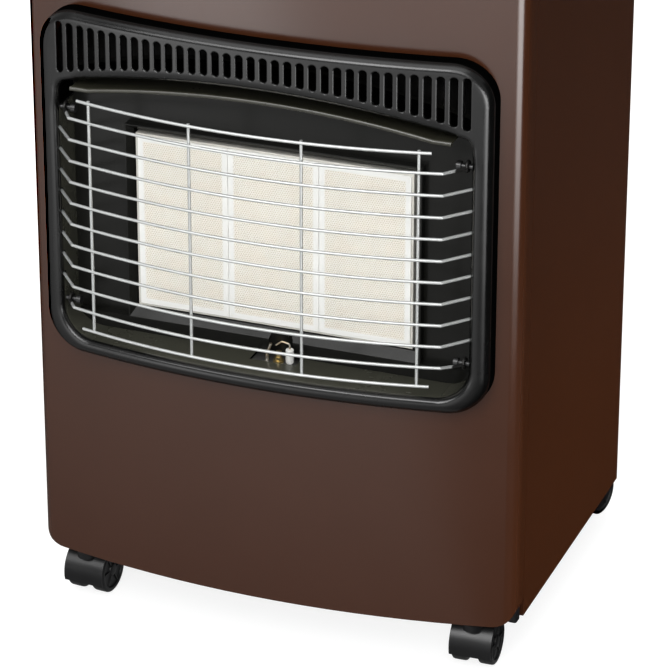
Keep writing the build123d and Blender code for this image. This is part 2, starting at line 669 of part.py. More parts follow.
def guard_wire(z, reach, tail):
    """One bowed horizontal wire; the tail maps a side to the point it ends at."""
    start = (-reach, guard_y(reach), z)
    with BuildPart() as wire:
        with BuildLine() as route:
            ThreePointArc(start, (0, guard_y(0), z), (reach, guard_y(reach), z))
        with BuildSketch(Plane(origin=route.line @ 0, z_dir=route.line % 0)):
            Circle(WIRE_RADIUS)
        sweep()
        for side in (-1, 1):
            if tail:
                kink = Vector(side * reach, guard_y(reach), z)
                tip = Vector(side * tail[0], tail[1], tail[2])
                with Locations(kink):
                    Sphere(WIRE_RADIUS)
                with BuildSketch(Plane(origin=kink, z_dir=tip - kink)):
                    Circle(WIRE_RADIUS)
                extrude(amount=(tip - kink).length)
    return wire.part


def make_guard():
    """Welded wire guard: bowed horizontal wires in front of four uprights."""
    heights = guard_heights()
    low = heights[0] - GUARD_END_GAP
    high = heights[-1] + GUARD_END_GAP
    wires = [guard_wire(z, GUARD_UPRIGHT_X + GUARD_OVERHANG, None) for z in (low, high)]
    for z in heights[1:-1]:
        wires.append(guard_wire(z, GUARD_KINK_X, (GUARD_END_X, GUARD_END_Y, z)))
    for z, eye_z in zip((heights[0], heights[-1]), EYE_HEIGHTS):
        wires.append(guard_wire(z, GUARD_KINK_X, (EYE_X, EYE_Y - EYE_RADIUS, eye_z)))
    for x in (-GUARD_UPRIGHT_X, -GUARD_INNER_X, GUARD_INNER_X, GUARD_UPRIGHT_X):
        with BuildPart() as upright:
            with BuildSketch(Plane.XY.offset(low - WIRE_RADIUS)):
                with Locations((x, guard_y(x) + 2 * WIRE_RADIUS - WELD)):
                    Circle(WIRE_RADIUS)
            extrude(amount=high - low + 2 * WIRE_RADIUS)
        wires.append(upright.part)
    with BuildPart() as eyes:
        for side in (-1, 1):
            for eye_z in EYE_HEIGHTS:
                with Locations(Location((side * EYE_X, EYE_Y, eye_z), (0, 90, 0))):
                    Torus(EYE_RADIUS, WIRE_RADIUS)
    with BuildPart() as guard:
        add(wires)
        add(eyes.part)
    save(guard, "guard")


def make_guard_screws():
    """Four black screws that hold the guard's eyes off the opening's side walls."""
    end_x = OPENING_WIDTH / 2 + BEZEL_WALL + 2.0
    with BuildPart() as guard_screws:
        for side in (-1, 1):
            for eye_z in EYE_HEIGHTS:
                with BuildSketch(Plane.YZ.offset(side * SCREW_HEAD_X)):
                    with Locations((EYE_Y, eye_z)):
                        Circle(SCREW_SHANK)
                extrude(amount=side * (end_x - SCREW_HEAD_X))
                with BuildSketch(Plane.YZ.offset(side * SCREW_HEAD_X)):
                    with Locations((EYE_Y, eye_z)):
                        Circle(3.7)
                extrude(amount=side * 3.6)
    save(guard_screws, "guard_screws")


# ---------------------------------------------------------------- burner chamber
WINDOW_X = PLAQUE_FIELD / 2 + BURNER_RIM + WINDOW_GAP
WINDOW_LOW = PLAQUE_BOTTOM - BURNER_RIM - WINDOW_GAP
WINDOW_HIGH = PLAQUE_BOTTOM + PLAQUE_HEIGHT + BURNER_RIM + WINDOW_GAP
SURROUND_Y = TUNNEL_Y - 7.7  # raised edge round the reflector's window
SURROUND_BEVEL = 4.7
SURROUND_LOW_BEVEL = 8.0
REFLECTOR_LAP = 5.0
MOUNT_Y = SEAM_Y - SHEET - SEAT - 1.5
FRAME_FLANGE_Y = MOUNT_Y - SEAT - 1.5


def make_reflector():
    """Black pan behind the opening: window plate, raised surround, lower scoop."""
    fold_x = OPENING_WIDTH / 2 + REFLECTOR_LAP
    scoop_x = OPENING_WIDTH / 2 - 2.0
    low = OPENING_BOTTOM + SEAT
    edge_low = WINDOW_LOW - SURROUND_LOW_BEVEL
    height = WINDOW_HIGH - WINDOW_LOW
    middle = (WINDOW_LOW + WINDOW_HIGH) / 2
    edge_height = height + SURROUND_BEVEL + SURROUND_LOW_BEVEL
    edge_middle = edge_low + edge_height / 2
    bevel_back = SURROUND_Y + 5.5
    with BuildPart() as scoop:
        with BuildSketch(Plane.YZ.offset(-scoop_x)):
            with BuildLine():
                Polyline(
                    (REFLECTOR_Y + 0.2, edge_low),
                    (SURROUND_Y, edge_low),
                    (SURROUND_Y + 1.5, low),
                    (REFLECTOR_Y + 0.2, low),
                    close=True,
                )
            make_face()
        extrude(amount=2 * scoop_x)
        with BuildSketch(Plane.XZ.offset(-REFLECTOR_Y - 1)):
            add(opening_area(-SEAT))
        extrude(amount=20.0, mode=Mode.INTERSECT)
    with BuildPart() as reflector:
        with BuildSketch(Plane.XZ.offset(-REFLECTOR_Y)):
            add(opening_area(REFLECTOR_LAP))
        extrude(amount=-REFLECTOR_SHEET)
        with BuildSketch(Plane.XZ.offset(-REFLECTOR_Y)):
            with Locations((0, edge_middle)):
                Rectangle(2 * (WINDOW_X + SURROUND_BEVEL + 1.0), edge_height + 2.0)
        extrude(amount=REFLECTOR_Y - SURROUND_Y)
        add(scoop.part)
        with BuildSketch(Plane.XZ.offset(-SURROUND_Y)):
            with Locations((0, edge_middle)):
                Rectangle(2 * (WINDOW_X + SURROUND_BEVEL), edge_height)
        with BuildSketch(Plane.XZ.offset(-bevel_back)):
            with Locations((0, middle)):
                Rectangle(2 * WINDOW_X, height)
        loft(mode=Mode.SUBTRACT)
        with BuildSketch(Plane.XZ.offset(-bevel_back)):
            with Locations((0, middle)):
                Rectangle(2 * WINDOW_X, height)
        extrude(amount=-(REFLECTOR_Y + REFLECTOR_SHEET - bevel_back), mode=Mode.SUBTRACT)
        with BuildSketch(Plane.XY.offset(low)):
            with Locations((PILOT_X, PILOT_Y)):
                Circle(11.5)
        extrude(amount=18.0, mode=Mode.SUBTRACT)
        for side in (-1, 1):
            with BuildSketch(Plane.YZ.offset(side * fold_x)):
                with Locations(((REFLECTOR_Y + MOUNT_Y - SEAT) / 2, middle)):
                    Rectangle(MOUNT_Y - SEAT - REFLECTOR_Y, height - 32.0)
            extrude(amount=-side * REFLECTOR_SHEET)
    save(reflector, "reflector")


HOOD_Y = FRONT_Y + 14.0
HOOD_CROWN = 489.5
HOOD_SHOULDER = 478.0
HOOD_END_X = OPENING_WIDTH / 2 - 14.0
HOOD_SHOULDER_X = HOOD_END_X - 15.0


def hood_line():
    """Front view of the hood: a shallow arch with a flat shoulder at each end."""
    with BuildLine() as line:
        Line((-HOOD_END_X, HOOD_SHOULDER), (-HOOD_SHOULDER_X, HOOD_SHOULDER))
        ThreePointArc(
            (-HOOD_SHOULDER_X, HOOD_SHOULDER), (0, HOOD_CROWN), (HOOD_SHOULDER_X, HOOD_SHOULDER)
        )
        Line((HOOD_SHOULDER_X, HOOD_SHOULDER), (HOOD_END_X, HOOD_SHOULDER))
    return line.line


def make_inner_hood():
    """Arched sheet over the plaques, its front edge rolled to a bead."""
    bead = 1.9
    depth = REFLECTOR_Y - SEAT - HOOD_Y
    with BuildPart() as roll:
        with BuildLine(Plane.XZ.offset(-HOOD_Y)) as arch:
            ThreePointArc(
                (-HOOD_SHOULDER_X, HOOD_SHOULDER), (0, HOOD_CROWN), (HOOD_SHOULDER_X, HOOD_SHOULDER)
            )
        with BuildSketch(Plane(origin=arch.line @ 0, z_dir=arch.line % 0)):
            Circle(bead)
        sweep()
    with BuildPart() as inner_hood:
        with BuildSketch(Plane.XZ.offset(-HOOD_Y - depth)):
            with BuildLine():
                add(hood_line())
                offset(amount=REFLECTOR_SHEET, side=Side.LEFT, closed=True)
            make_face()
        extrude(amount=depth)
        add(roll.part)
        for side in (-1, 1):
            with BuildSketch(Plane.YZ.offset(side * HOOD_SHOULDER_X)):
                with Locations((HOOD_Y, HOOD_SHOULDER)):
                    Circle(bead)
            extrude(amount=side * (HOOD_END_X - HOOD_SHOULDER_X))
            with Locations((side * HOOD_SHOULDER_X, HOOD_Y, HOOD_SHOULDER)):
                Sphere(bead)
    save(inner_hood, "inner_hood")


def make_burner_frame():
    """Pale steel frame that clasps the three plaques and carries the burner."""
    slack = 0.2
    inner_x = PLAQUE_FIELD / 2 + slack
    inner_height = PLAQUE_HEIGHT + 2 * slack
    rim_y = PLAQUE_Y + 0.8
    wing_x = 140.0
    with BuildPart() as burner_frame:
        with BuildSketch(Plane.XZ.offset(-FRAME_FLANGE_Y - 1.5)):
            with Locations((0, PLAQUE_MIDDLE_Z)):
                Rectangle(2 * (inner_x + BURNER_RIM - slack), inner_height + 2 * (BURNER_RIM - slack))
                Rectangle(2 * inner_x, inner_height, mode=Mode.SUBTRACT)
        extrude(amount=FRAME_FLANGE_Y + 1.5 - rim_y)
        with BuildSketch(Plane.XZ.offset(-FRAME_FLANGE_Y - 1.5)):
            with Locations((0, PLAQUE_MIDDLE_Z)):
                Rectangle(2 * wing_x, PLAQUE_HEIGHT - 30.0)
                Rectangle(2 * inner_x, inner_height, mode=Mode.SUBTRACT)
        extrude(amount=1.5)
    save(burner_frame, "burner_frame")


def make_burner_mounts():
    """Two strips from the front panel's folds that carry frame and reflector."""
    inner_x = 124.0
    outer_x = INNER_X - 1.0
    with BuildPart() as burner_mounts:
        with BuildSketch(Plane.XZ.offset(-MOUNT_Y - 1.5)):
            for side in (-1, 1):
                with Locations((side * (inner_x + outer_x) / 2, PLAQUE_MIDDLE_Z)):
                    Rectangle(outer_x - inner_x, PLAQUE_HEIGHT - 20.0)
        extrude(amount=1.5)
    save(burner_mounts, "burner_mounts")


def make_plaques():
    """Three ceramic plaques, their gaskets and the sheet chambers behind them."""
    wall = 1.0
    border = 6.0
    with BuildPart() as gaskets:
        with BuildSketch(Plane.XZ.offset(-BURNER_Y)):
            for x in plaque_xs():
                with Locations((x, PLAQUE_MIDDLE_Z)):
                    Rectangle(PLAQUE_WIDTH - 1, PLAQUE_HEIGHT - 1)
                    Rectangle(
                        PLAQUE_WIDTH - 2 * border, PLAQUE_HEIGHT - 2 * border, mode=Mode.SUBTRACT
                    )
        extrude(amount=GASKET)
    save(gaskets, "plaque_gaskets")
    for x, place in zip(plaque_xs(), PLAQUE_SIDES):
        with BuildPart() as plaque:
            with BuildSketch(Plane.XZ.offset(-PLAQUE_BACK_Y)):
                with Locations((x, PLAQUE_MIDDLE_Z)):
                    Rectangle(PLAQUE_WIDTH, PLAQUE_HEIGHT)
            extrude(amount=PLAQUE_THICK)
        save(plaque, f"ceramic_plaque_{place}")
    with BuildPart() as chamber:
        with BuildSketch(Plane.XZ.offset(-BURNER_BACK_Y)):
            with Locations((0, PLAQUE_MIDDLE_Z)):
                Rectangle(PLAQUE_WIDTH - 1, PLAQUE_HEIGHT - 1)
        extrude(amount=BURNER_DEPTH)
        fillet(chamber.faces().sort_by(Axis.Y)[-1].edges(), 6.0)
        offset(amount=-wall, openings=chamber.faces().sort_by(Axis.Y)[0])
        with BuildSketch(Plane.XY.offset(PLAQUE_BOTTOM)):
            with Locations((0, MIXER_Y)):
                Circle(MIXER_RADIUS + 0.3)
        extrude(amount=4.0, mode=Mode.SUBTRACT)
    with BuildPart() as burner_bodies:
        with Locations(*[(x, 0, 0) for x in plaque_xs()]):
            add(chamber.part)
    save(burner_bodies, "burner_bodies")


MIXER_RADIUS = 9.0
MIXER_Y = BURNER_Y + BURNER_DEPTH / 2
MIXER_TOP = PLAQUE_BOTTOM + 6.0
MIXER_BOTTOM = MIXER_TOP - MIXING_TUBE_LENGTH
INJECTOR_Z = MIXER_BOTTOM - 4.0  # tip of the injectors, just under the tube mouths
PIPE_RADIUS = 3.0
PIPE_BEND = 9.0
BAR_TOP = INJECTOR_Z - 8.0


def plaque_xs():
    """Middle of each plaque."""
    return [PLAQUE_PITCH * (i - (PLAQUE_COUNT - 1) / 2) for i in range(PLAQUE_COUNT)]


def make_mixing_tubes():
    """Three waisted air-and-gas tubes with flared mouths and a seating collar."""
    wall = 0.9
    throat = 6.5
    mouth = 13.0
    with BuildPart() as mixing_tubes:
        for x in plaque_xs():
            axis_plane = Plane(origin=(x, MIXER_Y, 0), x_dir=(1, 0, 0), z_dir=(0, -1, 0))
            with BuildSketch(axis_plane):
                with BuildLine():
                    Polyline(
                        (MIXER_RADIUS - wall, MIXER_TOP),
                        (MIXER_RADIUS, MIXER_TOP),
                        (MIXER_RADIUS, PLAQUE_BOTTOM + 0.2),
                        (MIXER_RADIUS + 3.0, PLAQUE_BOTTOM + 0.2),
                        (MIXER_RADIUS + 3.0, PLAQUE_BOTTOM - 1.0),
                        (MIXER_RADIUS, PLAQUE_BOTTOM - 1.0),
                        (throat + wall, MIXER_BOTTOM + 24.0),
                        (throat + wall, MIXER_BOTTOM + 16.0),
                        (mouth + wall, MIXER_BOTTOM),
                        (mouth, MIXER_BOTTOM),
                        (throat, MIXER_BOTTOM + 16.0),
                        (throat, MIXER_BOTTOM + 24.0),
                        (MIXER_RADIUS - wall, PLAQUE_BOTTOM - 1.0),
                        close=True,
                    )
                make_face()
            revolve(axis=Axis((x, MIXER_Y, 0), (0, 0, 1)))
    save(mixing_tubes, "mixing_tubes")


def make_injector_bar():
    """Folded steel bar under the mixing tubes, hung from the heat shield."""
    thick = 2.0
    half = PLAQUE_PITCH + 30.0
    back_y = SHIELD_Y - SEAT
    front_y = MIXER_Y - 10.0
    with BuildPart() as bar:
        with BuildSketch(Plane.XY.offset(BAR_TOP - thick)):
            with Locations((0, (front_y + back_y) / 2)):
                Rectangle(2 * half, back_y - front_y)
            for x in plaque_xs():
                with Locations((x, MIXER_Y)):
                    Circle(INJECTOR_NECK + 0.2, mode=Mode.SUBTRACT)
        extrude(amount=thick)
        with BuildSketch(Plane.XZ.offset(-back_y)):
            with Locations((0, BAR_TOP + 8.0)):
                Rectangle(2 * half, 20.0)
        extrude(amount=thick)
    save(bar, "injector_bar")


INJECTOR_NECK = 4.5


def make_injectors():
    """Three brass injectors: threaded neck, hexagon and tapered nozzle."""
    with BuildPart() as injectors:
        for x in plaque_xs():
            with BuildSketch(Plane.XY.offset(BAR_TOP - 12.0)):
                with Locations((x, MIXER_Y)):
                    Circle(INJECTOR_NECK)
                    Circle(PIPE_RADIUS, mode=Mode.SUBTRACT)
            extrude(amount=10.0)
            with BuildSketch(Plane.XY.offset(BAR_TOP - 2.0)):
                with Locations((x, MIXER_Y)):
                    Circle(INJECTOR_NECK)
            extrude(amount=2.0)
            with BuildSketch(Plane.XY.offset(BAR_TOP)):
                with Locations((x, MIXER_Y)):
                    RegularPolygon(6.5, 6)
            extrude(amount=4.0)
            with BuildSketch(Plane.XY.offset(BAR_TOP + 4.0)):
                with Locations((x, MIXER_Y)):
                    Circle(3.2)
            extrude(amount=INJECTOR_Z - BAR_TOP - 4.0, taper=12)
    save(injectors, "injectors")


def make_heat_shield():
    """Steel wall between the burner and the bottle bay, folded at its sides."""
    low = 130.0
    high = DOOR_TOP - 8.0
    half = INNER_X - SEAT
    fold = 14.0
    with BuildPart() as heat_shield:
        with BuildSketch(Plane.XY.offset(low)):
            with Locations((0, SHIELD_Y + fold / 2)):
                Rectangle(2 * half, fold)
            with Locations((0, SHIELD_Y + SHEET + fold / 2)):
                Rectangle(2 * (half - SHEET), fold, mode=Mode.SUBTRACT)
        extrude(amount=high - low)
    save(heat_shield, "heat_shield")


# ---------------------------------------------------------------- gas way
VALVE_Y = CONTROL_Y
VALVE_FRONT_Y = MIXER_Y - 10.0
VALVE_LOW = PANEL_FLOOR_Z - 60.0
VALVE_HIGH = VALVE_LOW + 26.0
VALVE_HALF_X = 26.0
VALVE_BACK_Y = VALVE_Y + 16.0
VALVE_SIDE_X = CONTROL_X + VALVE_HALF_X
BONNET_RADIUS = 11.0
COLLAR_RADIUS = 7.0
COLLAR_LOW = PANEL_FLOOR_Z - 24.0
COLLAR_HIGH = COLLAR_LOW + 15.0
UNDER_PANEL = PANEL_FLOOR_Z - PANEL_WALL - SEAT
KNOB_LOW = PANEL_FLOOR_Z + KNOB_TRAVEL + 1.5
KNOB_HIGH = KNOB_LOW + KNOB_HEIGHT
SPINDLE_TOP = KNOB_HIGH - 5.0
PIPE_XS = (135.0, 147.0, 159.0)
PIPE_DEPTHS = (-15.5, -28.5, -41.5)  # lowest run of each pipe under the injector bar
PIPE_STARTS = (VALVE_LOW + 4.5, VALVE_LOW + 13.0, VALVE_LOW + 21.5)
PILOT_PIPE_X = 171.0
PILOT_PIPE_RADIUS = 2.0
PILOT_PIPE_Y = MIXER_Y - 7.5
PILOT_RUN_Z = 195.0
LEAD_RADIUS = 1.5


def tube_along(points, radius, bend):
    """Round solid of the given radius along a path with rounded bends."""
    with BuildPart() as tube:
        with BuildLine() as route:
            FilletPolyline(*points, radius=bend)
        with BuildSketch(Plane(origin=route.line @ 0, z_dir=route.line % 0)):
            Circle(radius)
        sweep()
    return tube.part


def make_gas_valve():
    """Valve body with its bonnet, bored for the plunger that the knob presses."""
    with BuildPart() as valve:
        with BuildSketch(Plane.XY.offset(VALVE_LOW)):
            with Locations((CONTROL_X, (VALVE_FRONT_Y + VALVE_BACK_Y) / 2)):
                RectangleRounded(2 * VALVE_HALF_X, VALVE_BACK_Y - VALVE_FRONT_Y, 4.0)
        extrude(amount=VALVE_HIGH - VALVE_LOW)
        with BuildSketch(Plane.XY.offset(VALVE_HIGH)):
            with Locations((CONTROL_X, VALVE_Y)):
                Circle(BONNET_RADIUS)
        extrude(amount=UNDER_PANEL - VALVE_HIGH)
        with BuildSketch(Plane.XY.offset(COLLAR_LOW - KNOB_TRAVEL - 2.0)):
            with Locations((CONTROL_X, VALVE_Y)):
                Circle(COLLAR_RADIUS + RUNNING)
        extrude(amount=60.0, mode=Mode.SUBTRACT)
        with BuildSketch(Plane.XY.offset(VALVE_LOW + 8.0)):
            with Locations((CONTROL_X, VALVE_Y)):
                Circle(SPINDLE_RADIUS + 0.4)
        extrude(amount=60.0, mode=Mode.SUBTRACT)
    save(valve, "gas_valve_body")
    with BuildPart() as collar:
        with BuildSketch(Plane.XY.offset(COLLAR_LOW)):
            with Locations((CONTROL_X, VALVE_Y)):
                Circle(COLLAR_RADIUS)
                Circle(SPINDLE_RADIUS + RUNNING, mode=Mode.SUBTRACT)
        extrude(amount=COLLAR_HIGH - COLLAR_LOW)
    save(collar, "valve_plunger")
    with BuildPart() as spindle:
        with BuildSketch(Plane.XY.offset(COLLAR_LOW - 16.0)):
            with Locations((CONTROL_X, VALVE_Y)):
                Circle(SPINDLE_RADIUS)
        extrude(amount=SPINDLE_TOP - COLLAR_LOW + 16.0)
        with BuildSketch(Plane.XY.offset(COLLAR_HIGH + 0.2)):
            with Locations((CONTROL_X, VALVE_Y)):
                Circle(SPINDLE_RADIUS + 0.8)
        extrude(amount=1.6)
    save(spindle, "valve_spindle")


def make_control_knob():
    """Round knob with a raised grip bar and a bore for the spindle."""
    skirt = 6.0
    with BuildPart() as knob:
        with BuildSketch(Plane.XY.offset(KNOB_LOW)):
            with Locations((CONTROL_X, VALVE_Y)):
                Circle(KNOB_RADIUS)
        extrude(amount=skirt)
        fillet(knob.faces().sort_by(Axis.Z)[-1].edges(), 2.0)
        with BuildSketch(Plane.XY.offset(KNOB_LOW + skirt)):
            with Locations((CONTROL_X, VALVE_Y)):
                Circle(KNOB_RADIUS - 3.0)
        extrude(amount=5.0, taper=8)
        with BuildSketch(Plane.XY.offset(KNOB_LOW + skirt)):
            with Locations((CONTROL_X, VALVE_Y)):
                SlotOverall(2 * KNOB_RADIUS - 4.8, 11.0, rotation=90)
        extrude(amount=KNOB_HEIGHT - skirt, taper=6)
        fillet(knob.faces().sort_by(Axis.Z)[-1].edges(), 1.2)
        with BuildSketch(Plane.XY.offset(KNOB_LOW)):
            with Locations((CONTROL_X, VALVE_Y)):
                Circle(SPINDLE_RADIUS + 0.02)
        extrude(amount=SPINDLE_TOP - KNOB_LOW + 0.1, mode=Mode.SUBTRACT)
    save(knob, "control_knob")


def make_gas_pipes():
    """One pipe to each injector, nested from the valve down the right side."""
    pipes = []
    for x, run_x, depth, start in zip(reversed(plaque_xs()), PIPE_XS, PIPE_DEPTHS, PIPE_STARTS):
        low = BAR_TOP - 6.0 + depth
        route = (
            (VALVE_SIDE_X, MIXER_Y, start),
            (run_x, MIXER_Y, start),
            (run_x, MIXER_Y, low),
            (x, MIXER_Y, low),
            (x, MIXER_Y, BAR_TOP - 2.3),
        )
        pipes.append(tube_along(route, PIPE_RADIUS - 0.05, PIPE_BEND))
    with BuildPart() as gas_pipes:
        add(pipes)
    save(gas_pipes, "gas_pipes")


def make_inlet():
    """Inlet elbow at the valve's back and the barbed tail for the bottle's hose."""
    tail_y = VALVE_BACK_Y + 34.0
    inlet_z = VALVE_LOW + 12.0
    tail_top = VALVE_LOW - 6.0
    tail_radius = 4.5
    route = ((CONTROL_X, VALVE_BACK_Y, inlet_z), (CONTROL_X, tail_y, inlet_z))
    with BuildPart() as inlet_pipe:
        add(tube_along(route + ((CONTROL_X, tail_y, tail_top),), 4.0, PIPE_BEND))
    save(inlet_pipe, "inlet_pipe")
    with BuildPart() as hose_tail:
        with BuildSketch(Plane.XY.offset(tail_top - 12.0)):
            with Locations((CONTROL_X, tail_y)):
                RegularPolygon(8.5, 6)
        extrude(amount=12.0)
        with BuildSketch(Plane.XY.offset(tail_top - 26.0)):
            with Locations((CONTROL_X, tail_y)):
                Circle(tail_radius)
        extrude(amount=14.0)
        for step in range(3):
            with BuildSketch(Plane.XY.offset(tail_top - 26.0 - 4.0 * step)):
                with Locations((CONTROL_X, tail_y)):
                    Circle(tail_radius)
            extrude(amount=-4.0, taper=8)
        with BuildSketch(Plane.XY.offset(tail_top - 38.0)):
            with Locations((CONTROL_X, tail_y)):
                Circle(2.5)
        extrude(amount=24.0, mode=Mode.SUBTRACT)
    save(hose_tail, "hose_tail")


# ---------------------------------------------------------------- igniter and pilot
IGNITER_RADIUS = 10.5
IGNITER_LOW = PANEL_FLOOR_Z - 56.0
BUTTON_HIGH = PANEL_FLOOR_Z + BUTTON_TRAVEL + 3.5
BUTTON_LOW = UNDER_PANEL - 7.0
ELECTRODE_X = PILOT_X + 9.7
INSULATOR_LOW = 236.0
PROBE_X = PILOT_X - 10.0
PLATE_TOP = OPENING_BOTTOM - BEZEL_WALL - SEAT


def make_igniter():
    """Impulse igniter under the panel, its push button and its lead."""
    with BuildPart() as igniter_body:
        with BuildSketch(Plane.XY.offset(IGNITER_LOW)):
            with Locations((-CONTROL_X, CONTROL_Y)):
                Circle(IGNITER_RADIUS)
        extrude(amount=UNDER_PANEL - IGNITER_LOW)
        with BuildSketch(Plane.XY.offset(BUTTON_LOW - BUTTON_TRAVEL - 1.0)):
            with Locations((-CONTROL_X, CONTROL_Y)):
                Circle(BUTTON_RADIUS + RUNNING)
        extrude(amount=40.0, mode=Mode.SUBTRACT)
    save(igniter_body, "igniter_body")
    with BuildPart() as button:
        with BuildSketch(Plane.XY.offset(BUTTON_LOW)):
            with Locations((-CONTROL_X, CONTROL_Y)):
                Circle(BUTTON_RADIUS)
        extrude(amount=BUTTON_HIGH - BUTTON_LOW)
        fillet(button.faces().sort_by(Axis.Z)[-1].edges(), 1.5)
    save(button, "igniter_button")
    route = (
        (-CONTROL_X, CONTROL_Y, IGNITER_LOW),
        (-CONTROL_X, CONTROL_Y, IGNITER_LOW - 20.0),
        (-150.0, MIXER_Y - 7.0, IGNITER_LOW - 70.0),
        (-150.0, MIXER_Y - 7.0, 240.0),
        (-110.0, TUNNEL_Y - 2.7, 212.0),
        (ELECTRODE_X, TUNNEL_Y - 2.7, 212.0),
        (ELECTRODE_X, PILOT_Y, INSULATOR_LOW - 8.0),
        (ELECTRODE_X, PILOT_Y, INSULATOR_LOW),
    )
    with BuildPart() as lead:
        add(tube_along(route, LEAD_RADIUS, 5.0))
    save(lead, "ignition_lead")


def make_pilot():
    """Pilot burner on its plate, with feed tube, spark electrode and probe."""
    base_z = OPENING_BOTTOM
    with BuildPart() as plate:
        with BuildSketch(Plane.XY.offset(PLATE_TOP - 1.2)):
            with Locations((PILOT_X, TUNNEL_Y - 12.7)):
                Rectangle(56.0, 24.0)
            for x, radius in ((PILOT_X, 3.3), (ELECTRODE_X, 2.7), (PROBE_X, 1.7)):
                with Locations((x, PILOT_Y)):
                    Circle(radius, mode=Mode.SUBTRACT)
        extrude(amount=1.2)
    save(plate, "pilot_bracket")
    with BuildPart() as burner:
        with BuildSketch(Plane.XY.offset(base_z - 14.0)):
            with Locations((PILOT_X, PILOT_Y)):
                Circle(3.2)
        extrude(amount=16.0)
        with BuildSketch(Plane.XY.offset(base_z + 2.0)):
            with Locations((PILOT_X, PILOT_Y)):
                Circle(2.4)
        extrude(amount=4.5)
        with BuildSketch(Plane.XY.offset(PLATE_TOP)):
            with Locations((PILOT_X, PILOT_Y)):
                Circle(4.6)
        extrude(amount=1.5)
    save(burner, "pilot_burner")
    feed = (
        (VALVE_SIDE_X, PILOT_PIPE_Y, PIPE_STARTS[0]),
        (PILOT_PIPE_X, PILOT_PIPE_Y, PIPE_STARTS[0]),
        (PILOT_PIPE_X, PILOT_PIPE_Y, PILOT_RUN_Z),
        (120.0, PILOT_Y, PILOT_RUN_Z),
        (PILOT_X, PILOT_Y, PILOT_RUN_Z),
        (PILOT_X, PILOT_Y, base_z - 14.0),
    )
    with BuildPart() as tube:
        add(tube_along(feed, PILOT_PIPE_RADIUS, 8.0))
    save(tube, "pilot_tube")
    with BuildPart() as insulator:
        with BuildSketch(Plane.XY.offset(INSULATOR_LOW)):
            with Locations((ELECTRODE_X, PILOT_Y)):
                Circle(2.5)
        extrude(amount=PLATE_TOP + 1.0 - INSULATOR_LOW)
        with BuildSketch(Plane.XY.offset(PLATE_TOP + 1.0)):
            with Locations((ELECTRODE_X, PILOT_Y)):
                Circle(3.4)
        extrude(amount=base_z + 9.1 - PLATE_TOP)
        fillet(insulator.faces().sort_by(Axis.Z)[-1].edges(), 1.0)
    save(insulator, "electrode_insulator")
    tip_z = base_z + 10.1
    arch = (
        (ELECTRODE_X, PILOT_Y, tip_z),
        (ELECTRODE_X, PILOT_Y, tip_z + 4.4),
        (ELECTRODE_X - 7.0, PILOT_Y, tip_z + 5.6),
        (ELECTRODE_X - 12.0, PILOT_Y, tip_z + 1.5),
    )
    with BuildPart() as electrode:
        add(tube_along(arch, 0.7, 2.0))
    save(electrode, "spark_electrode")
    probe = (
        (VALVE_SIDE_X, PILOT_PIPE_Y, PIPE_STARTS[1]),
        (PILOT_PIPE_X + 6.5, PILOT_PIPE_Y, PIPE_STARTS[1]),
        (PILOT_PIPE_X + 6.5, PILOT_PIPE_Y, PILOT_RUN_Z - 10.0),
        (124.0, PILOT_Y, PILOT_RUN_Z - 10.0),
        (PROBE_X, PILOT_Y, PILOT_RUN_Z - 10.0),
        (PROBE_X, PILOT_Y, base_z + 3.0),
        (PROBE_X + 3.4, PILOT_Y, base_z + 12.5),
    )
    with BuildPart() as thermocouple:
        add(tube_along(probe, 1.2, 4.0))
        with BuildSketch(Plane.XY.offset(base_z - 16.0)):
            with Locations((PROBE_X, PILOT_Y)):
                Circle(1.6)
        extrude(amount=18.0)
    save(thermocouple, "thermocouple")


# ---------------------------------------------------------------- castors
WEB_HALF = 4.7
WHEEL_GAP = 0.5
AXLE_HALF = WEB_HALF + WHEEL_GAP + WHEEL_WIDTH - 2.6
COLLAR_BOTTOM = 43.1
STEM_LOW = 25.0


def make_stems():
    """Fixed castor stems and the moulded bushes that hold them in the tray."""
    with BuildPart() as stems:
        for x, y in STEMS:
            with BuildSketch(Plane.XY.offset(STEM_LOW)):
                with Locations((x, y)):
                    Circle(STEM_RADIUS)
            extrude(amount=TRAY_FLOOR + 18.0 - STEM_LOW)
            with BuildSketch(Plane.XY.offset(COLLAR_BOTTOM)):
                with Locations((x, y)):
                    Circle(7.5)
            extrude(amount=TRAY_BOTTOM - 0.4 - COLLAR_BOTTOM)
    save(stems, "castor_stems")
    with BuildPart() as bushes:
        for x, y in STEMS:
            for radius, low, high in (
                (BUSH_RADIUS, TRAY_BOTTOM - 0.1, TRAY_FLOOR),
                (9.0, TRAY_FLOOR, TRAY_FLOOR + 2.0),
                (6.2, TRAY_FLOOR + 2.0, TRAY_FLOOR + 20.0),
            ):
                with BuildSketch(Plane.XY.offset(low)):
                    with Locations((x, y)):
                        Circle(radius)
                extrude(amount=high - low)
            with BuildSketch(Plane.XY.offset(TRAY_BOTTOM - 1.0)):
                with Locations((x, y)):
                    Circle(STEM_RADIUS + RUNNING)
            extrude(amount=TRAY_FLOOR + 18.5 - TRAY_BOTTOM + 1.0, mode=Mode.SUBTRACT)
    save(bushes, "stem_bushes")


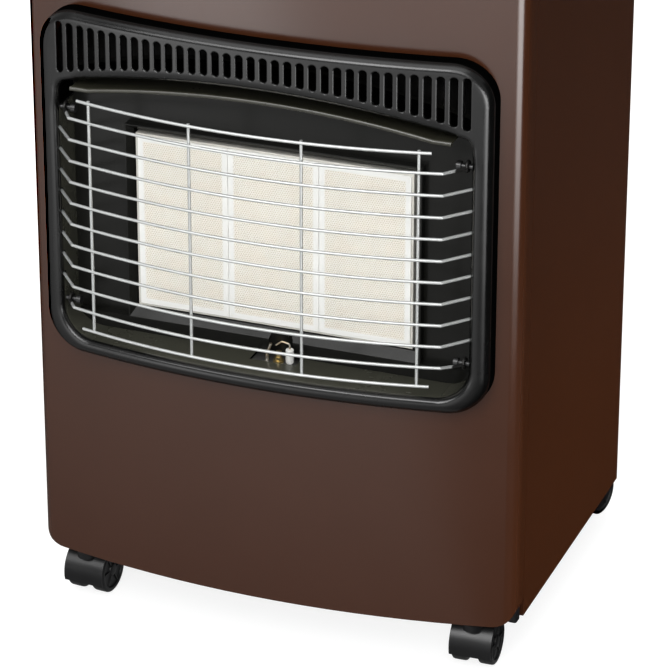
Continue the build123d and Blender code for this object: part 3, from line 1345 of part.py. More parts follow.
def castor_hood():
    """Hood over both wheels; its web holds the stem and carries two axle stubs."""
    axle_y = CASTOR_TRAIL
    side_plane = Plane(origin=(-CASTOR_WIDTH / 2, axle_y, WHEEL_RADIUS), x_dir=(0, 1, 0), z_dir=(1, 0, 0))
    shell = 1.6
    with BuildPart() as hood:
        with BuildSketch(side_plane):
            Circle(HOOD_RADIUS)
        extrude(amount=CASTOR_WIDTH)
        with BuildSketch(Plane.XY.offset(36.5)):
            Circle(8.0)
        extrude(amount=WHEEL_RADIUS + HOOD_RADIUS - 36.5)
        with BuildSketch(side_plane):
            Circle(HOOD_RADIUS - shell)
        extrude(amount=CASTOR_WIDTH / 2 - WEB_HALF, mode=Mode.SUBTRACT)
        with BuildSketch(side_plane.offset(CASTOR_WIDTH)):
            Circle(HOOD_RADIUS - shell)
        extrude(amount=-(CASTOR_WIDTH / 2 - WEB_HALF), mode=Mode.SUBTRACT)
        # open below the skirt, and behind and under the axle
        with BuildSketch(Plane.XY.offset(-10.0)):
            Rectangle(4 * HOOD_RADIUS, 4 * HOOD_RADIUS)
        extrude(amount=SKIRT_LOW + 10.0, mode=Mode.SUBTRACT)
        with BuildSketch(Plane.XY):
            with Locations((0, axle_y + 8.0 + HOOD_RADIUS)):
                Rectangle(2 * CASTOR_WIDTH, 2 * HOOD_RADIUS)
        extrude(amount=WHEEL_RADIUS + 8.0, mode=Mode.SUBTRACT)
        with BuildSketch(Plane.XY.offset(STEM_LOW - 0.5)):
            Circle(STEM_RADIUS + RUNNING)
        extrude(amount=40.0, mode=Mode.SUBTRACT)
        with BuildSketch(side_plane.offset(CASTOR_WIDTH / 2)):
            Circle(AXLE_RADIUS)
        extrude(amount=AXLE_HALF, both=True)
    return hood.part


def castor_wheel(side):
    """Dished wheel with a rounded tread; the side is +1 or -1 along the axle."""
    inner = WEB_HALF + WHEEL_GAP
    with BuildPart() as wheel:
        with BuildSketch(Plane.YZ.offset(side * inner)):
            with Locations((CASTOR_TRAIL, WHEEL_RADIUS)):
                Circle(WHEEL_RADIUS)
        extrude(amount=side * WHEEL_WIDTH)
        fillet(wheel.edges().filter_by(GeomType.CIRCLE), 1.6)
        with BuildSketch(Plane.YZ.offset(side * (inner + WHEEL_WIDTH))):
            with Locations((CASTOR_TRAIL, WHEEL_RADIUS)):
                Circle(15.0)
                Circle(5.0, mode=Mode.SUBTRACT)
        extrude(amount=-side * 1.2, mode=Mode.SUBTRACT)
        with BuildSketch(Plane.YZ.offset(side * inner)):
            with Locations((CASTOR_TRAIL, WHEEL_RADIUS)):
                Circle(AXLE_RADIUS + RUNNING)
        extrude(amount=side * (WHEEL_WIDTH - 2.0), mode=Mode.SUBTRACT)
    return wheel.part


def make_castors():
    """Four twin-wheel castors, each turned on its stem as it came to rest."""
    shapes = {
        "hood": castor_hood(),
        "wheel_left": castor_wheel(-1),
        "wheel_right": castor_wheel(1),
    }
    for (place, turn), (x, y) in zip(CASTOR_TURNS.items(), STEMS):
        for kind, shape in shapes.items():
            with BuildPart() as piece:
                with Locations(Location((x, y, 0), (0, 0, turn))):
                    add(shape)
            save(piece, f"castor_{place}_{kind}")


os.makedirs("parts", exist_ok=True)
make_front_panel()
make_side_panel("side_panel_left", -1)
make_side_panel("side_panel_right", 1)
make_lid()
make_control_panel()
make_base_tray()
make_corner_blocks()
make_rear_door()
make_rear_upper_panel()
make_rear_screws()
make_door_hinge()
make_door_catch()
make_bezel()
make_guard()
make_guard_screws()
make_reflector()
make_inner_hood()
make_burner_frame()
make_burner_mounts()
make_plaques()
make_mixing_tubes()
make_injector_bar()
make_injectors()
make_heat_shield()
make_gas_valve()
make_control_knob()
make_gas_pipes()
make_inlet()
make_igniter()
make_pilot()
make_stems()
make_castors()
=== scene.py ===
"""Portable gas cabinet heater in a plain studio: its finishes, small parts, light and camera."""

import json
import logging
import math
from dataclasses import dataclass, field
from enum import Enum
from typing import Callable, Iterable, Optional, Sequence

import bmesh
import bpy
from mathutils import Matrix, Vector


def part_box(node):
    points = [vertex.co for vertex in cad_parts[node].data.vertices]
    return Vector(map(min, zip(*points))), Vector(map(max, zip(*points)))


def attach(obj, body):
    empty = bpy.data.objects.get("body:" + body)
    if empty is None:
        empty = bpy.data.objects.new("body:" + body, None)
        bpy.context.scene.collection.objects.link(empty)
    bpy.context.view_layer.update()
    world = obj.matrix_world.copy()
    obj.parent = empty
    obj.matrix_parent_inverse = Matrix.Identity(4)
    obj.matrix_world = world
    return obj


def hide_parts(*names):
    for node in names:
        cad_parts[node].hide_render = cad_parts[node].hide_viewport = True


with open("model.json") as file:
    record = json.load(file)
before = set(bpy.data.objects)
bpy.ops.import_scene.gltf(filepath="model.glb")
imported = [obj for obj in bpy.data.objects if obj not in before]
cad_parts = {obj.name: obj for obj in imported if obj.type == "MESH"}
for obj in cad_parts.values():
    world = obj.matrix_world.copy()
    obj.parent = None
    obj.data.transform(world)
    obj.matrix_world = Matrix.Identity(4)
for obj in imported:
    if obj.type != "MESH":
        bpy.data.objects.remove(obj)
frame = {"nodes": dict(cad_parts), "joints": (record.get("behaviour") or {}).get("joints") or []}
LOG = logging.getLogger("heater")
MM = 0.001
Socket = bpy.types.NodeSocket
Colour = tuple[int, int, int]


# ------------------------------------------------------------------ node wiring
def linear(colour: Colour) -> tuple[float, float, float, float]:
    """Turns a colour written as 0-255 screen values into the shader's linear values.

    Args:
        colour: red, green and blue as they should look on screen.

    Returns:
        Red, green, blue and an alpha of 1.
    """
    parts = []
    for level in colour:
        value = level / 255
        parts.append(value / 12.92 if value <= 0.04045 else ((value + 0.055) / 1.055) ** 2.4)
    return (parts[0], parts[1], parts[2], 1.0)


class Wiring:
    """Adds nodes to one tree and joins them, so that a finish reads as a short recipe."""

    def __init__(self, tree: bpy.types.NodeTree) -> None:
        """Keeps the tree that the nodes go into."""
        self.tree = tree

    def node(self, kind: str, **settings: object) -> bpy.types.Node:
        """Adds a node and sets its properties.

        Args:
            kind: the node's type.
            settings: properties of the node by name.

        Returns:
            The new node.
        """
        made = self.tree.nodes.new(kind)
        for key, value in settings.items():
            setattr(made, key, value)
        return made

    def fed(self, kind: str, **inputs: object) -> bpy.types.Node:
        """Adds a node and fills its inputs by name, with spaces written as underscores."""
        made = self.node(kind)
        for key, value in inputs.items():
            self.feed(made.inputs[key.replace("_", " ")], value)
        return made

    def feed(self, socket: Socket, value: object) -> None:
        """Joins a socket to another, or sets its constant.

        Args:
            socket: the input to fill.
            value: an output socket, or a constant.
        """
        if isinstance(value, bpy.types.NodeSocket):
            self.tree.links.new(value, socket)
        else:
            socket.default_value = value

    def filled(self, kind: str, *values: object, **settings: object) -> bpy.types.Node:
        """Adds a node, sets its properties and fills its inputs in order."""
        made = self.node(kind, **settings)
        for socket, value in zip(made.inputs, values):
            self.feed(socket, value)
        return made

    def maths(self, operation: str, *values: object) -> Socket:
        """The result of one Math node, whose inputs are sockets or numbers."""
        return self.filled("ShaderNodeMath", *values, operation=operation).outputs[0]

    def times(self, first: object, second: object) -> Socket:
        """The product of two values."""
        return self.maths("MULTIPLY", first, second)

    def plus(self, first: object, second: object) -> Socket:
        """The sum of two values."""
        return self.maths("ADD", first, second)

    def minus(self, first: object, second: object) -> Socket:
        """The first value less the second."""
        return self.maths("SUBTRACT", first, second)

    def vector(self, operation: str, *values: object) -> bpy.types.Node:
        """One Vector Math node, returned whole because its output depends on the operation."""
        return self.filled("ShaderNodeVectorMath", *values, operation=operation)

    def split(self, vector: Socket) -> tuple[Socket, Socket, Socket]:
        """The X, Y and Z of a vector."""
        made = self.filled("ShaderNodeSeparateXYZ", vector)
        return made.outputs["X"], made.outputs["Y"], made.outputs["Z"]

    def remap(
        self, value: Socket, low: float, high: float, to_low: float = 0.0, to_high: float = 1.0
    ) -> Socket:
        """Maps a value smoothly from one range to another, held at both ends.

        Args:
            value: the value to map.
            low: start of the range it comes in.
            high: end of that range.
            to_low: what the start becomes.
            to_high: what the end becomes.

        Returns:
            The mapped value.
        """
        made = self.node("ShaderNodeMapRange", interpolation_type="SMOOTHSTEP")
        for name, number in zip(("From Min", "From Max", "To Min", "To Max"), (low, high, to_low, to_high)):
            made.inputs[name].default_value = number
        self.feed(made.inputs["Value"], value)
        return made.outputs["Result"]

    def blend(self, share: object, first: object, second: object) -> Socket:
        """Mixes two colours.

        Args:
            share: how much of the second.
            first: colour at 0.
            second: colour at 1.

        Returns:
            The mixed colour.
        """
        made = self.node("ShaderNodeMix", data_type="RGBA")
        self.feed(made.inputs[0], share)
        self.feed(made.inputs[6], first)
        self.feed(made.inputs[7], second)
        return made.outputs[2]

    def noise(self, vector: Socket, scale: object, detail: float = 3.0, rough: float = 0.5) -> Socket:
        """A noise value between 0 and 1 over the surface."""
        made = self.fed("ShaderNodeTexNoise", Vector=vector, Scale=scale, Detail=detail, Roughness=rough)
        return made.outputs["Fac"]

    def effect(self, effect: "Effect", vector: Socket, **amounts: object) -> Socket:
        """What a shared surface effect gives at a place.

        Args:
            effect: the effect.
            vector: the place on the surface.
            amounts: its other inputs by name.

        Returns:
            The effect's one output.
        """
        made = self.node("ShaderNodeGroup", node_tree=effect.tree())
        for key, value in {"Vector": vector, **amounts}.items():
            self.feed(made.inputs[key], value)
        return made.outputs[0]


class Effect(Enum):
    """Surface effects that several finishes share, each a shader node group built once."""

    DRIFT = "slow_drift"
    PEEL = "spray_peel"
    RUBS = "light_rubs"
    DUST = "settled_dust"
    HOLES = "hole_lattice"
    DRAWN = "drawn_lines"

    def tree(self) -> bpy.types.NodeTree:
        """The group's tree, built when first asked for."""
        found = bpy.data.node_groups.get(self.value)
        if found:
            return found
        made = bpy.data.node_groups.new(self.value, "ShaderNodeTree")
        EFFECT_RECIPES[self](made)
        return made


def open_group(
    tree: bpy.types.NodeTree, result: str, **amounts: float
) -> tuple[Wiring, bpy.types.Node, Socket]:
    """Gives a group its sockets: a vector and some amounts in, one value out.

    Args:
        tree: the empty group.
        result: name of the value it gives.
        amounts: names of the amounts, with their defaults.

    Returns:
        The wiring, the input node and the socket that takes the value.
    """
    tree.interface.new_socket(name="Vector", in_out="INPUT", socket_type="NodeSocketVector")
    for name, default in amounts.items():
        socket = tree.interface.new_socket(name=name, in_out="INPUT", socket_type="NodeSocketFloat")
        socket.default_value = default
    tree.interface.new_socket(name=result, in_out="OUTPUT", socket_type="NodeSocketFloat")
    wires = Wiring(tree)
    given = wires.node("NodeGroupInput")
    return wires, given, wires.node("NodeGroupOutput").inputs[result]


def build_drift(tree: bpy.types.NodeTree) -> None:
    """Slow uneven drift of a colour or gloss, over a hand's width."""
    wires, given, mask = open_group(tree, "Mask", Size=0.08)
    scale = wires.maths("DIVIDE", 1.0, given.outputs["Size"])
    broad = wires.noise(given.outputs["Vector"], scale, 2.0)
    fine = wires.noise(given.outputs["Vector"], wires.times(scale, 6.0), 3.0)
    total = wires.plus(wires.times(broad, 0.75), wires.times(fine, 0.25))
    wires.feed(mask, wires.remap(total, 0.33, 0.67))


def build_peel(tree: bpy.types.NodeTree) -> None:
    """Fine unevenness of a sprayed or moulded skin, as a height."""
    wires, given, height = open_group(tree, "Height", Size=0.002)
    scale = wires.maths("DIVIDE", 1.0, given.outputs["Size"])
    broad = wires.noise(given.outputs["Vector"], scale, 1.0)
    fine = wires.noise(given.outputs["Vector"], wires.times(scale, 2.7), 2.0)
    total = wires.plus(wires.times(broad, 0.7), wires.times(fine, 0.3))
    wires.feed(height, total)


def build_rubs(tree: bpy.types.NodeTree) -> None:
    """Faint rubbed streaks from wiping and handling."""
    wires, given, mask = open_group(tree, "Mask", Size=0.01, Amount=0.4)
    stretched = wires.vector("MULTIPLY", given.outputs["Vector"], (1.0, 1.0, 0.16)).outputs[0]
    scale = wires.maths("DIVIDE", 1.0, given.outputs["Size"])
    streak = wires.noise(stretched, scale, 4.0, 0.65)
    patch = wires.noise(given.outputs["Vector"], wires.times(scale, 0.12), 1.0)
    streak = wires.remap(streak, 0.5, 0.72)
    both = wires.times(streak, wires.remap(patch, 0.4, 0.7, 0.2, 1.0))
    wires.feed(mask, wires.times(both, given.outputs["Amount"]))


def build_dust(tree: bpy.types.NodeTree) -> None:
    """Thin dust on what faces up."""
    wires, given, mask = open_group(tree, "Mask", Amount=0.2)
    _, _, upward = wires.split(wires.node("ShaderNodeNewGeometry").outputs["Normal"])
    facing = wires.remap(upward, 0.55, 1.0)
    speck = wires.remap(wires.noise(given.outputs["Vector"], 900.0, 4.0, 0.7), 0.42, 0.7, 0.25, 1.0)
    wires.feed(mask, wires.times(wires.times(facing, speck), given.outputs["Amount"]))


def build_holes(tree: bpy.types.NodeTree) -> None:
    """Round holes on a staggered lattice in the X and Z of its vector, in rows Pitch apart."""
    wires, given, hole = open_group(tree, "Hole", Pitch=0.0021, Radius=0.0006)
    flat = wires.vector("MULTIPLY", given.outputs["Vector"], (1.0, 0.0, 1.0)).outputs[0]
    pitch = given.outputs["Pitch"]
    cell = wires.fed("ShaderNodeCombineXYZ", X=pitch, Y=1.0, Z=wires.times(pitch, math.sqrt(3)))
    nearest = []
    for shift in (0.0, 0.5):
        cells = wires.vector("DIVIDE", flat, cell.outputs[0]).outputs[0]
        moved = wires.vector("ADD", cells, (shift, 0.5, shift)).outputs[0]
        part = wires.vector("FRACTION", moved).outputs[0]
        inside = wires.vector("SUBTRACT", part, (0.5, 0.5, 0.5))
        offset = wires.vector("MULTIPLY", inside.outputs[0], cell.outputs[0])
        level = wires.vector("MULTIPLY", offset.outputs[0], (1.0, 0.0, 1.0))
        nearest.append(wires.vector("LENGTH", level.outputs[0]).outputs["Value"])
    reach = wires.maths("DIVIDE", wires.maths("MINIMUM", *nearest), given.outputs["Radius"])
    wires.feed(hole, wires.remap(reach, 0.75, 1.25, 1.0, 0.0))


def build_drawn(tree: bpy.types.NodeTree) -> None:
    """Fine lines left by rolling or drawing, along the Z of its vector."""
    wires, given, drawn = open_group(tree, "Lines", Size=0.0006)
    squeezed = wires.vector("MULTIPLY", given.outputs["Vector"], (1.0, 1.0, 0.02)).outputs[0]
    lines = wires.noise(squeezed, wires.maths("DIVIDE", 1.0, given.outputs["Size"]), 3.0, 0.6)
    wires.feed(drawn, wires.remap(lines, 0.3, 0.7))


EFFECT_RECIPES: dict[Effect, Callable[[bpy.types.NodeTree], None]] = {
    Effect.DRIFT: build_drift,
    Effect.PEEL: build_peel,
    Effect.RUBS: build_rubs,
    Effect.DUST: build_dust,
    Effect.HOLES: build_holes,
    Effect.DRAWN: build_drawn,
}


# --------------------------------------------------------------------- finishes
@dataclass
class Skin:
    """What a finish's pattern hands to the shader."""

    colour: Socket
    roughness: Socket
    height: Socket
    specular: Optional[Socket] = None


@dataclass(frozen=True)
class Finish:
    """A surface finish: its colour as it should look, its gloss and its fine relief."""

    name: str
    colour: Colour
    roughness: float = 0.5
    metallic: float = 0.0
    specular: float = 0.5
    drift: float = 0.12
    drift_size: float = 0.09
    grain_size: float = 0.0018
    relief: float = 0.00001
    gloss_range: float = 0.08

    def material(self) -> bpy.types.Material:
        """The finish as a material, built when first asked for.

        Returns:
            The material.
        """
        found = bpy.data.materials.get(self.name)
        if found:
            return found
        made = bpy.data.materials.new(self.name)
        made.use_nodes = True
        made.diffuse_color = linear(self.colour)
        wires = Wiring(made.node_tree)
        shader = made.node_tree.nodes["Principled BSDF"]
        position = wires.node("ShaderNodeTexCoord").outputs["Object"]
        skin = self.pattern(wires, position)
        inputs = {
            "Base Color": skin.colour,
            "Roughness": skin.roughness,
            "Metallic": self.metallic,
            "Specular IOR Level": self.specular if skin.specular is None else skin.specular,
            "Normal": wires.fed("ShaderNodeBump", Distance=self.relief, Height=skin.height).outputs[0],
        }
        for name, value in inputs.items():
            wires.feed(shader.inputs[name], value)
        return made

    def shade(self, factor: float) -> tuple[float, float, float, float]:
        """The finish's colour made lighter or darker by a factor."""
        red, green, blue, _ = linear(self.colour)
        return (min(red * factor, 1.0), min(green * factor, 1.0), min(blue * factor, 1.0), 1.0)

    def gloss(self, wires: Wiring, mask: Socket) -> Socket:
        """Roughness that follows a mask about the finish's own value."""
        low = max(self.roughness - self.gloss_range / 2, 0.02)
        return wires.remap(mask, 0.0, 1.0, low, self.roughness + self.gloss_range / 2)

    def pattern(self, wires: Wiring, position: Socket) -> Skin:
        """Colour, gloss and relief over the surface.

        Args:
            wires: where the nodes go.
            position: the place on the surface, in the object's own metres.

        Returns:
            The sockets that feed the shader.
        """
        mask = wires.effect(Effect.DRIFT, position, Size=self.drift_size)
        grain = wires.effect(Effect.PEEL, position, Size=self.grain_size)
        colour = wires.blend(mask, self.shade(1 - self.drift), self.shade(1 + self.drift))
        return Skin(colour, self.gloss(wires, mask), grain)


@dataclass(frozen=True)
class StovePaint(Finish):
    """Baked paint on sheet steel: slight peel, faint rubs, a little dust on level faces."""

    rubs: float = 0.35
    rub_size: float = 12.0 * MM
    rub_roughness: float = 0.22
    dust: float = 0.12
    dust_roughness: float = 0.3
    dust_colour: Colour = (150, 140, 130)

    def pattern(self, wires: Wiring, position: Socket) -> Skin:
        """Adds rubs to the gloss and dust to the colour."""
        skin = super().pattern(wires, position)
        rub = wires.effect(Effect.RUBS, position, Size=self.rub_size, Amount=self.rubs)
        dust = wires.effect(Effect.DUST, position, Amount=self.dust)
        skin.colour = wires.blend(dust, skin.colour, linear(self.dust_colour))
        rougher = wires.plus(skin.roughness, wires.times(rub, self.rub_roughness))
        skin.roughness = wires.plus(rougher, wires.times(dust, self.dust_roughness))
        return skin


@dataclass(frozen=True)
class SheetMetal(Finish):
    """Rolled, drawn or plated metal with its lines and slow tarnish."""

    line_size: float = 0.0006
    tarnish: Colour = (120, 116, 108)
    tarnish_share: float = 0.3
    tarnish_scale: float = 34.0
    line_share: float = 0.5
    line_roughness: float = 0.1

    def pattern(self, wires: Wiring, position: Socket) -> Skin:
        """Lines in the relief and gloss, tarnish in the colour."""
        skin = super().pattern(wires, position)
        lines = wires.effect(Effect.DRAWN, position, Size=self.line_size)
        cloud = wires.noise(position, self.tarnish_scale, 4.0, 0.6)
        patch = wires.remap(cloud, 0.45, 0.75, 0.0, self.tarnish_share)
        skin.colour = wires.blend(patch, skin.colour, linear(self.tarnish))
        skin.roughness = wires.plus(skin.roughness, wires.times(lines, self.line_roughness))
        grain = wires.times(skin.height, 1 - self.line_share)
        skin.height = wires.plus(wires.times(lines, self.line_share), grain)
        return skin


@dataclass(frozen=True)
class ZincSheet(SheetMetal):
    """Zinc-plated sheet with its patchwork of crystals."""

    crystal: float = 9.0 * MM
    crystal_contrast: float = 0.35
    crystal_dark: float = 0.6
    crystal_roughness: float = 0.12

    def pattern(self, wires: Wiring, position: Socket) -> Skin:
        """Adds crystals of differing brightness and gloss."""
        skin = super().pattern(wires, position)
        cells = wires.fed("ShaderNodeTexVoronoi", Vector=position, Scale=1 / self.crystal)
        level = wires.fed("ShaderNodeSeparateColor", Color=cells.outputs["Color"])
        dark = wires.remap(level.outputs[0], 0, 1, 0.0, self.crystal_contrast)
        skin.colour = wires.blend(dark, skin.colour, self.shade(self.crystal_dark))
        skin.roughness = wires.plus(skin.roughness, wires.times(level.outputs[1], self.crystal_roughness))
        return skin


@dataclass(frozen=True)
class HeatTinted(SheetMetal):
    """Steel that has been hot: straw and blue tints over the metal."""

    straw: Colour = (176, 148, 104)
    blue: Colour = (86, 92, 112)
    band_scale: float = 120.0

    def pattern(self, wires: Wiring, position: Socket) -> Skin:
        """Adds bands of straw and blue."""
        skin = super().pattern(wires, position)
        band = wires.noise(position, self.band_scale, 3.0)
        warm = wires.blend(wires.remap(band, 0.4, 0.6, 0.0, 0.55), skin.colour, linear(self.straw))
        skin.colour = wires.blend(wires.remap(band, 0.56, 0.74, 0.0, 0.5), warm, linear(self.blue))
        return skin


@dataclass(frozen=True)
class FramePaint(StovePaint):
    """Satin paint on the pressed frame: crowned edges, rolled slot edges, a painted warm reflection inside
    the opening and painted shade in the hollow behind the face.
    """

    half_width: float = 190.5 * MM
    low: float = 244.0 * MM
    high: float = 542.5 * MM
    corner: float = 34.0 * MM
    opening_inset: float = 16.5 * MM
    opening_low: float = 258.5 * MM
    opening_crown: float = 504.0 * MM
    opening_arch: float = 630.0 * MM
    opening_corner: float = 26.0 * MM
    crown_width: float = 9.0 * MM
    crown_slope: float = 0.5
    slot_pitch: float = 341.0 / 34 * MM
    slot_count: int = 35
    slot_high: float = 528.9 * MM
    slot_margin: float = 11.1 * MM
    slot_half: float = 2.6 * MM
    rim: float = 1.3 * MM
    rim_height: float = -0.55 * MM
    # Painted reflection colour for the walls inside the opening.
    painted_reflection_colour: Colour = (62, 62, 54)
    # Painted shade colour for the hollow behind the face, and the depth where that shade starts.
    painted_shade_colour: Colour = (3, 3, 3)
    painted_shade_depth: float = 3.0 * MM
    edge_soft: float = 0.3 * MM
    face_y: float = -198.875 * MM
    face_bow: float = 830.0 * MM

    def box_gap(
        self, wires: Wiring, across: Socket, up: Socket, half: float, low: float, high: object, corner: float
    ) -> Socket:
        """Distance outside a rounded box, below 0 inside it.

        Args:
            wires: where the nodes go.
            across: distance from the middle, never below 0.
            up: height.
            half: half the box's width.
            low: its lower edge.
            high: its upper edge, which may vary.
            corner: radius of its corners.

        Returns:
            The distance.
        """
        middle = wires.times(wires.plus(high, low), 0.5)
        half_up = wires.times(wires.minus(high, low), 0.5)
        side = wires.minus(across, half - corner)
        rise = wires.maths("ABSOLUTE", wires.minus(up, middle))
        above = wires.plus(wires.minus(rise, half_up), corner)
        past_side = wires.maths("MAXIMUM", side, 0.0)
        past_top = wires.maths("MAXIMUM", above, 0.0)
        squares = wires.maths("MULTIPLY_ADD", past_side, past_side, wires.times(past_top, past_top))
        inner = wires.maths("MINIMUM", wires.maths("MAXIMUM", side, above), 0.0)
        return wires.minus(wires.plus(wires.maths("SQRT", squares), inner), corner)

    def crown(self, wires: Wiring, gap: Socket) -> Socket:
        """How far the face falls away near an edge, from the distance to that edge."""
        near = wires.maths("MAXIMUM", wires.minus(self.crown_width, gap), 0.0)
        return wires.times(wires.times(near, near), self.crown_slope / 2 / self.crown_width)

    def rims(self, wires: Wiring, across: Socket, up: Socket, arch: Socket) -> Socket:
        """Rolled-in edge round every slot.

        Args:
            wires: where the nodes go.
            across: signed distance from the middle.
            up: height.
            arch: height of the opening's upper edge there.

        Returns:
            The roll's height, below 0 near a slot and 0 elsewhere.
        """
        turns = wires.maths("MULTIPLY_ADD", across, 1 / self.slot_pitch, 0.5)
        offset = wires.minus(wires.maths("FRACT", turns), 0.5)
        aside = wires.times(offset, self.slot_pitch)
        low = wires.plus(arch, self.slot_margin)
        nearest = wires.maths("MINIMUM", wires.maths("MAXIMUM", up, low), self.slot_high)
        above = wires.minus(up, nearest)
        squares = wires.maths("MULTIPLY_ADD", aside, aside, wires.times(above, above))
        gap = wires.minus(wires.maths("SQRT", squares), self.slot_half)
        ring = wires.remap(gap, 0.0, self.rim, 1.0, 0.0)
        reach = self.slot_pitch * self.slot_count / 2
        counted = wires.maths("LESS_THAN", wires.maths("ABSOLUTE", across), reach)
        return wires.times(wires.times(ring, counted), self.rim_height)

    def pattern(self, wires: Wiring, position: Socket) -> Skin:
        """Relief of the crowned edges and rolled slots, a painted warm reflection inside the opening, and
        painted shade deep behind the face.
        """
        skin = super().pattern(wires, position)
        sideways, inward, up = wires.split(position)
        across = wires.maths("ABSOLUTE", sideways)
        square = wires.times(across, across)
        arch = wires.maths("MULTIPLY_ADD", square, -0.5 / self.opening_arch, self.opening_crown)
        outer = self.box_gap(wires, across, up, self.half_width, self.low, self.high, self.corner)
        opening_half = self.half_width - self.opening_inset
        inner = self.box_gap(wires, across, up, opening_half, self.opening_low, arch, self.opening_corner)
        fall = wires.plus(self.crown(wires, wires.times(outer, -1.0)), self.crown(wires, inner))
        relief = wires.minus(self.rims(wires, sideways, up, arch), fall)
        skin.height = wires.maths("MULTIPLY_ADD", skin.height, self.relief, relief)
        # Painted reflection: inside the opening the charcoal turns a warm olive, standing in for the plaques'
        # light mirrored in its walls.
        inside = wires.remap(inner, self.edge_soft / 3, self.edge_soft, 1.0, 0.0)
        # Painted shade: deep in the hollow behind the face, outside the opening, the paint turns near black
        # with no gloss and full roughness.
        setback = wires.maths("MULTIPLY_ADD", square, 0.5 / self.face_bow, self.face_y)
        depth = wires.minus(inward, setback)
        deep = wires.remap(depth, self.painted_shade_depth, 2 * self.painted_shade_depth)
        painted_shade = wires.times(deep, wires.remap(inner, self.edge_soft, 2 * self.edge_soft))
        skin.colour = wires.blend(inside, skin.colour, linear(self.painted_reflection_colour))
        skin.colour = wires.blend(painted_shade, skin.colour, linear(self.painted_shade_colour))
        skin.specular = wires.remap(painted_shade, 0.0, 1.0, self.specular, 0.0)
        skin.roughness = wires.maths("MAXIMUM", skin.roughness, painted_shade)
        return skin

    def material(self) -> bpy.types.Material:
        """The finish with its relief in true metres."""
        made = super().material()
        made.node_tree.nodes["Bump"].inputs["Distance"].default_value = 1.0
        return made


@dataclass(frozen=True)
class FiredPlaque(Finish):
    """Porous ceramic plaque: fine holes in a field, and a plain border round each plaque."""

    width: float = 77.4 * MM
    pitch_between: float = 77.8 * MM
    low: float = 284.5 * MM
    high: float = 432.0 * MM
    border: float = 4.8 * MM
    hole_pitch: float = 2.05 * MM
    hole_radius: float = 0.52 * MM
    hole_shade_colour: Colour = (206, 196, 168)
    hole_shade_share: float = 0.62
    tint_colour: Colour = (248, 240, 227)
    border_colour: Colour = (247, 247, 243)
    side_soft: float = 0.014
    end_soft: float = 1.0 * MM
    tint_scale: float = 60.0
    grain_share: float = 0.15

    def field_mask(self, wires: Wiring, position: Socket) -> Socket:
        """1 where the holes are, 0 on the plain border.

        Args:
            wires: where the nodes go.
            position: the place on the surface.

        Returns:
            The mask.
        """
        sideways, _, height = wires.split(position)
        turns = wires.plus(wires.maths("DIVIDE", sideways, self.pitch_between), 0.5)
        across = wires.maths("ABSOLUTE", wires.minus(wires.maths("FRACT", turns), 0.5))
        edge = (self.width / 2 - self.border) / self.pitch_between
        sides = wires.remap(across, edge - self.side_soft, edge + self.side_soft, 1.0, 0.0)
        middle = (self.low + self.high) / 2
        reach = (self.high - self.low) / 2 - self.border
        up = wires.maths("ABSOLUTE", wires.minus(height, middle))
        ends = wires.remap(up, reach - self.end_soft, reach + self.end_soft, 1.0, 0.0)
        return wires.times(sides, ends)

    def pattern(self, wires: Wiring, position: Socket) -> Skin:
        """Holes as dots of painted shade and as dents, a soft square relief, and warm firing tints."""
        skin = super().pattern(wires, position)
        field_area = self.field_mask(wires, position)
        holes = wires.effect(Effect.HOLES, position, Pitch=self.hole_pitch, Radius=self.hole_radius)
        hole = wires.times(holes, field_area)
        tint = wires.remap(wires.noise(position, self.tint_scale, 2.0), 0.4, 0.65, 0.0, 0.5)
        body = wires.blend(tint, skin.colour, linear(self.tint_colour))
        plain = wires.blend(field_area, linear(self.border_colour), body)
        # Painted shade: the holes are darkened to a tan where shade falls inside them.
        skin.colour = wires.blend(wires.times(hole, self.hole_shade_share), plain, linear(self.hole_shade_colour))
        skin.height = wires.minus(wires.times(skin.height, self.grain_share), hole)
        return skin


@dataclass(frozen=True)
class PlatedWire(SheetMetal):
    """Bright plating, with painted shade darkening the eyes that the guard's screws hold."""

    eye_x: float = 163.5 * MM
    eye_heights: tuple[float, float] = (288.2 * MM, 456.6 * MM)
    eye_reach: float = 6.5 * MM
    eye_soft: float = 1.0 * MM
    eye_shade_colour: Colour = (34, 33, 32)

    def pattern(self, wires: Wiring, position: Socket) -> Skin:
        """Plating with painted shade on the eyes."""
        skin = super().pattern(wires, position)
        sideways, _, up = wires.split(position)
        across = wires.maths("ABSOLUTE", sideways)
        middle = sum(self.eye_heights) / 2
        spread = wires.maths("ABSOLUTE", wires.minus(up, middle))
        gap = wires.maths("ABSOLUTE", wires.minus(spread, self.eye_heights[1] - middle))
        level = wires.remap(gap, self.eye_reach - self.eye_soft / 2, self.eye_reach, 1.0, 0.0)
        eye_shade_mask = wires.times(wires.remap(across, self.eye_x, self.eye_x + self.eye_soft), level)
        # Painted shade: the wire is darkened where it loops round the screws beside the opening's walls.
        skin.colour = wires.blend(eye_shade_mask, skin.colour, linear(self.eye_shade_colour))
        return skin


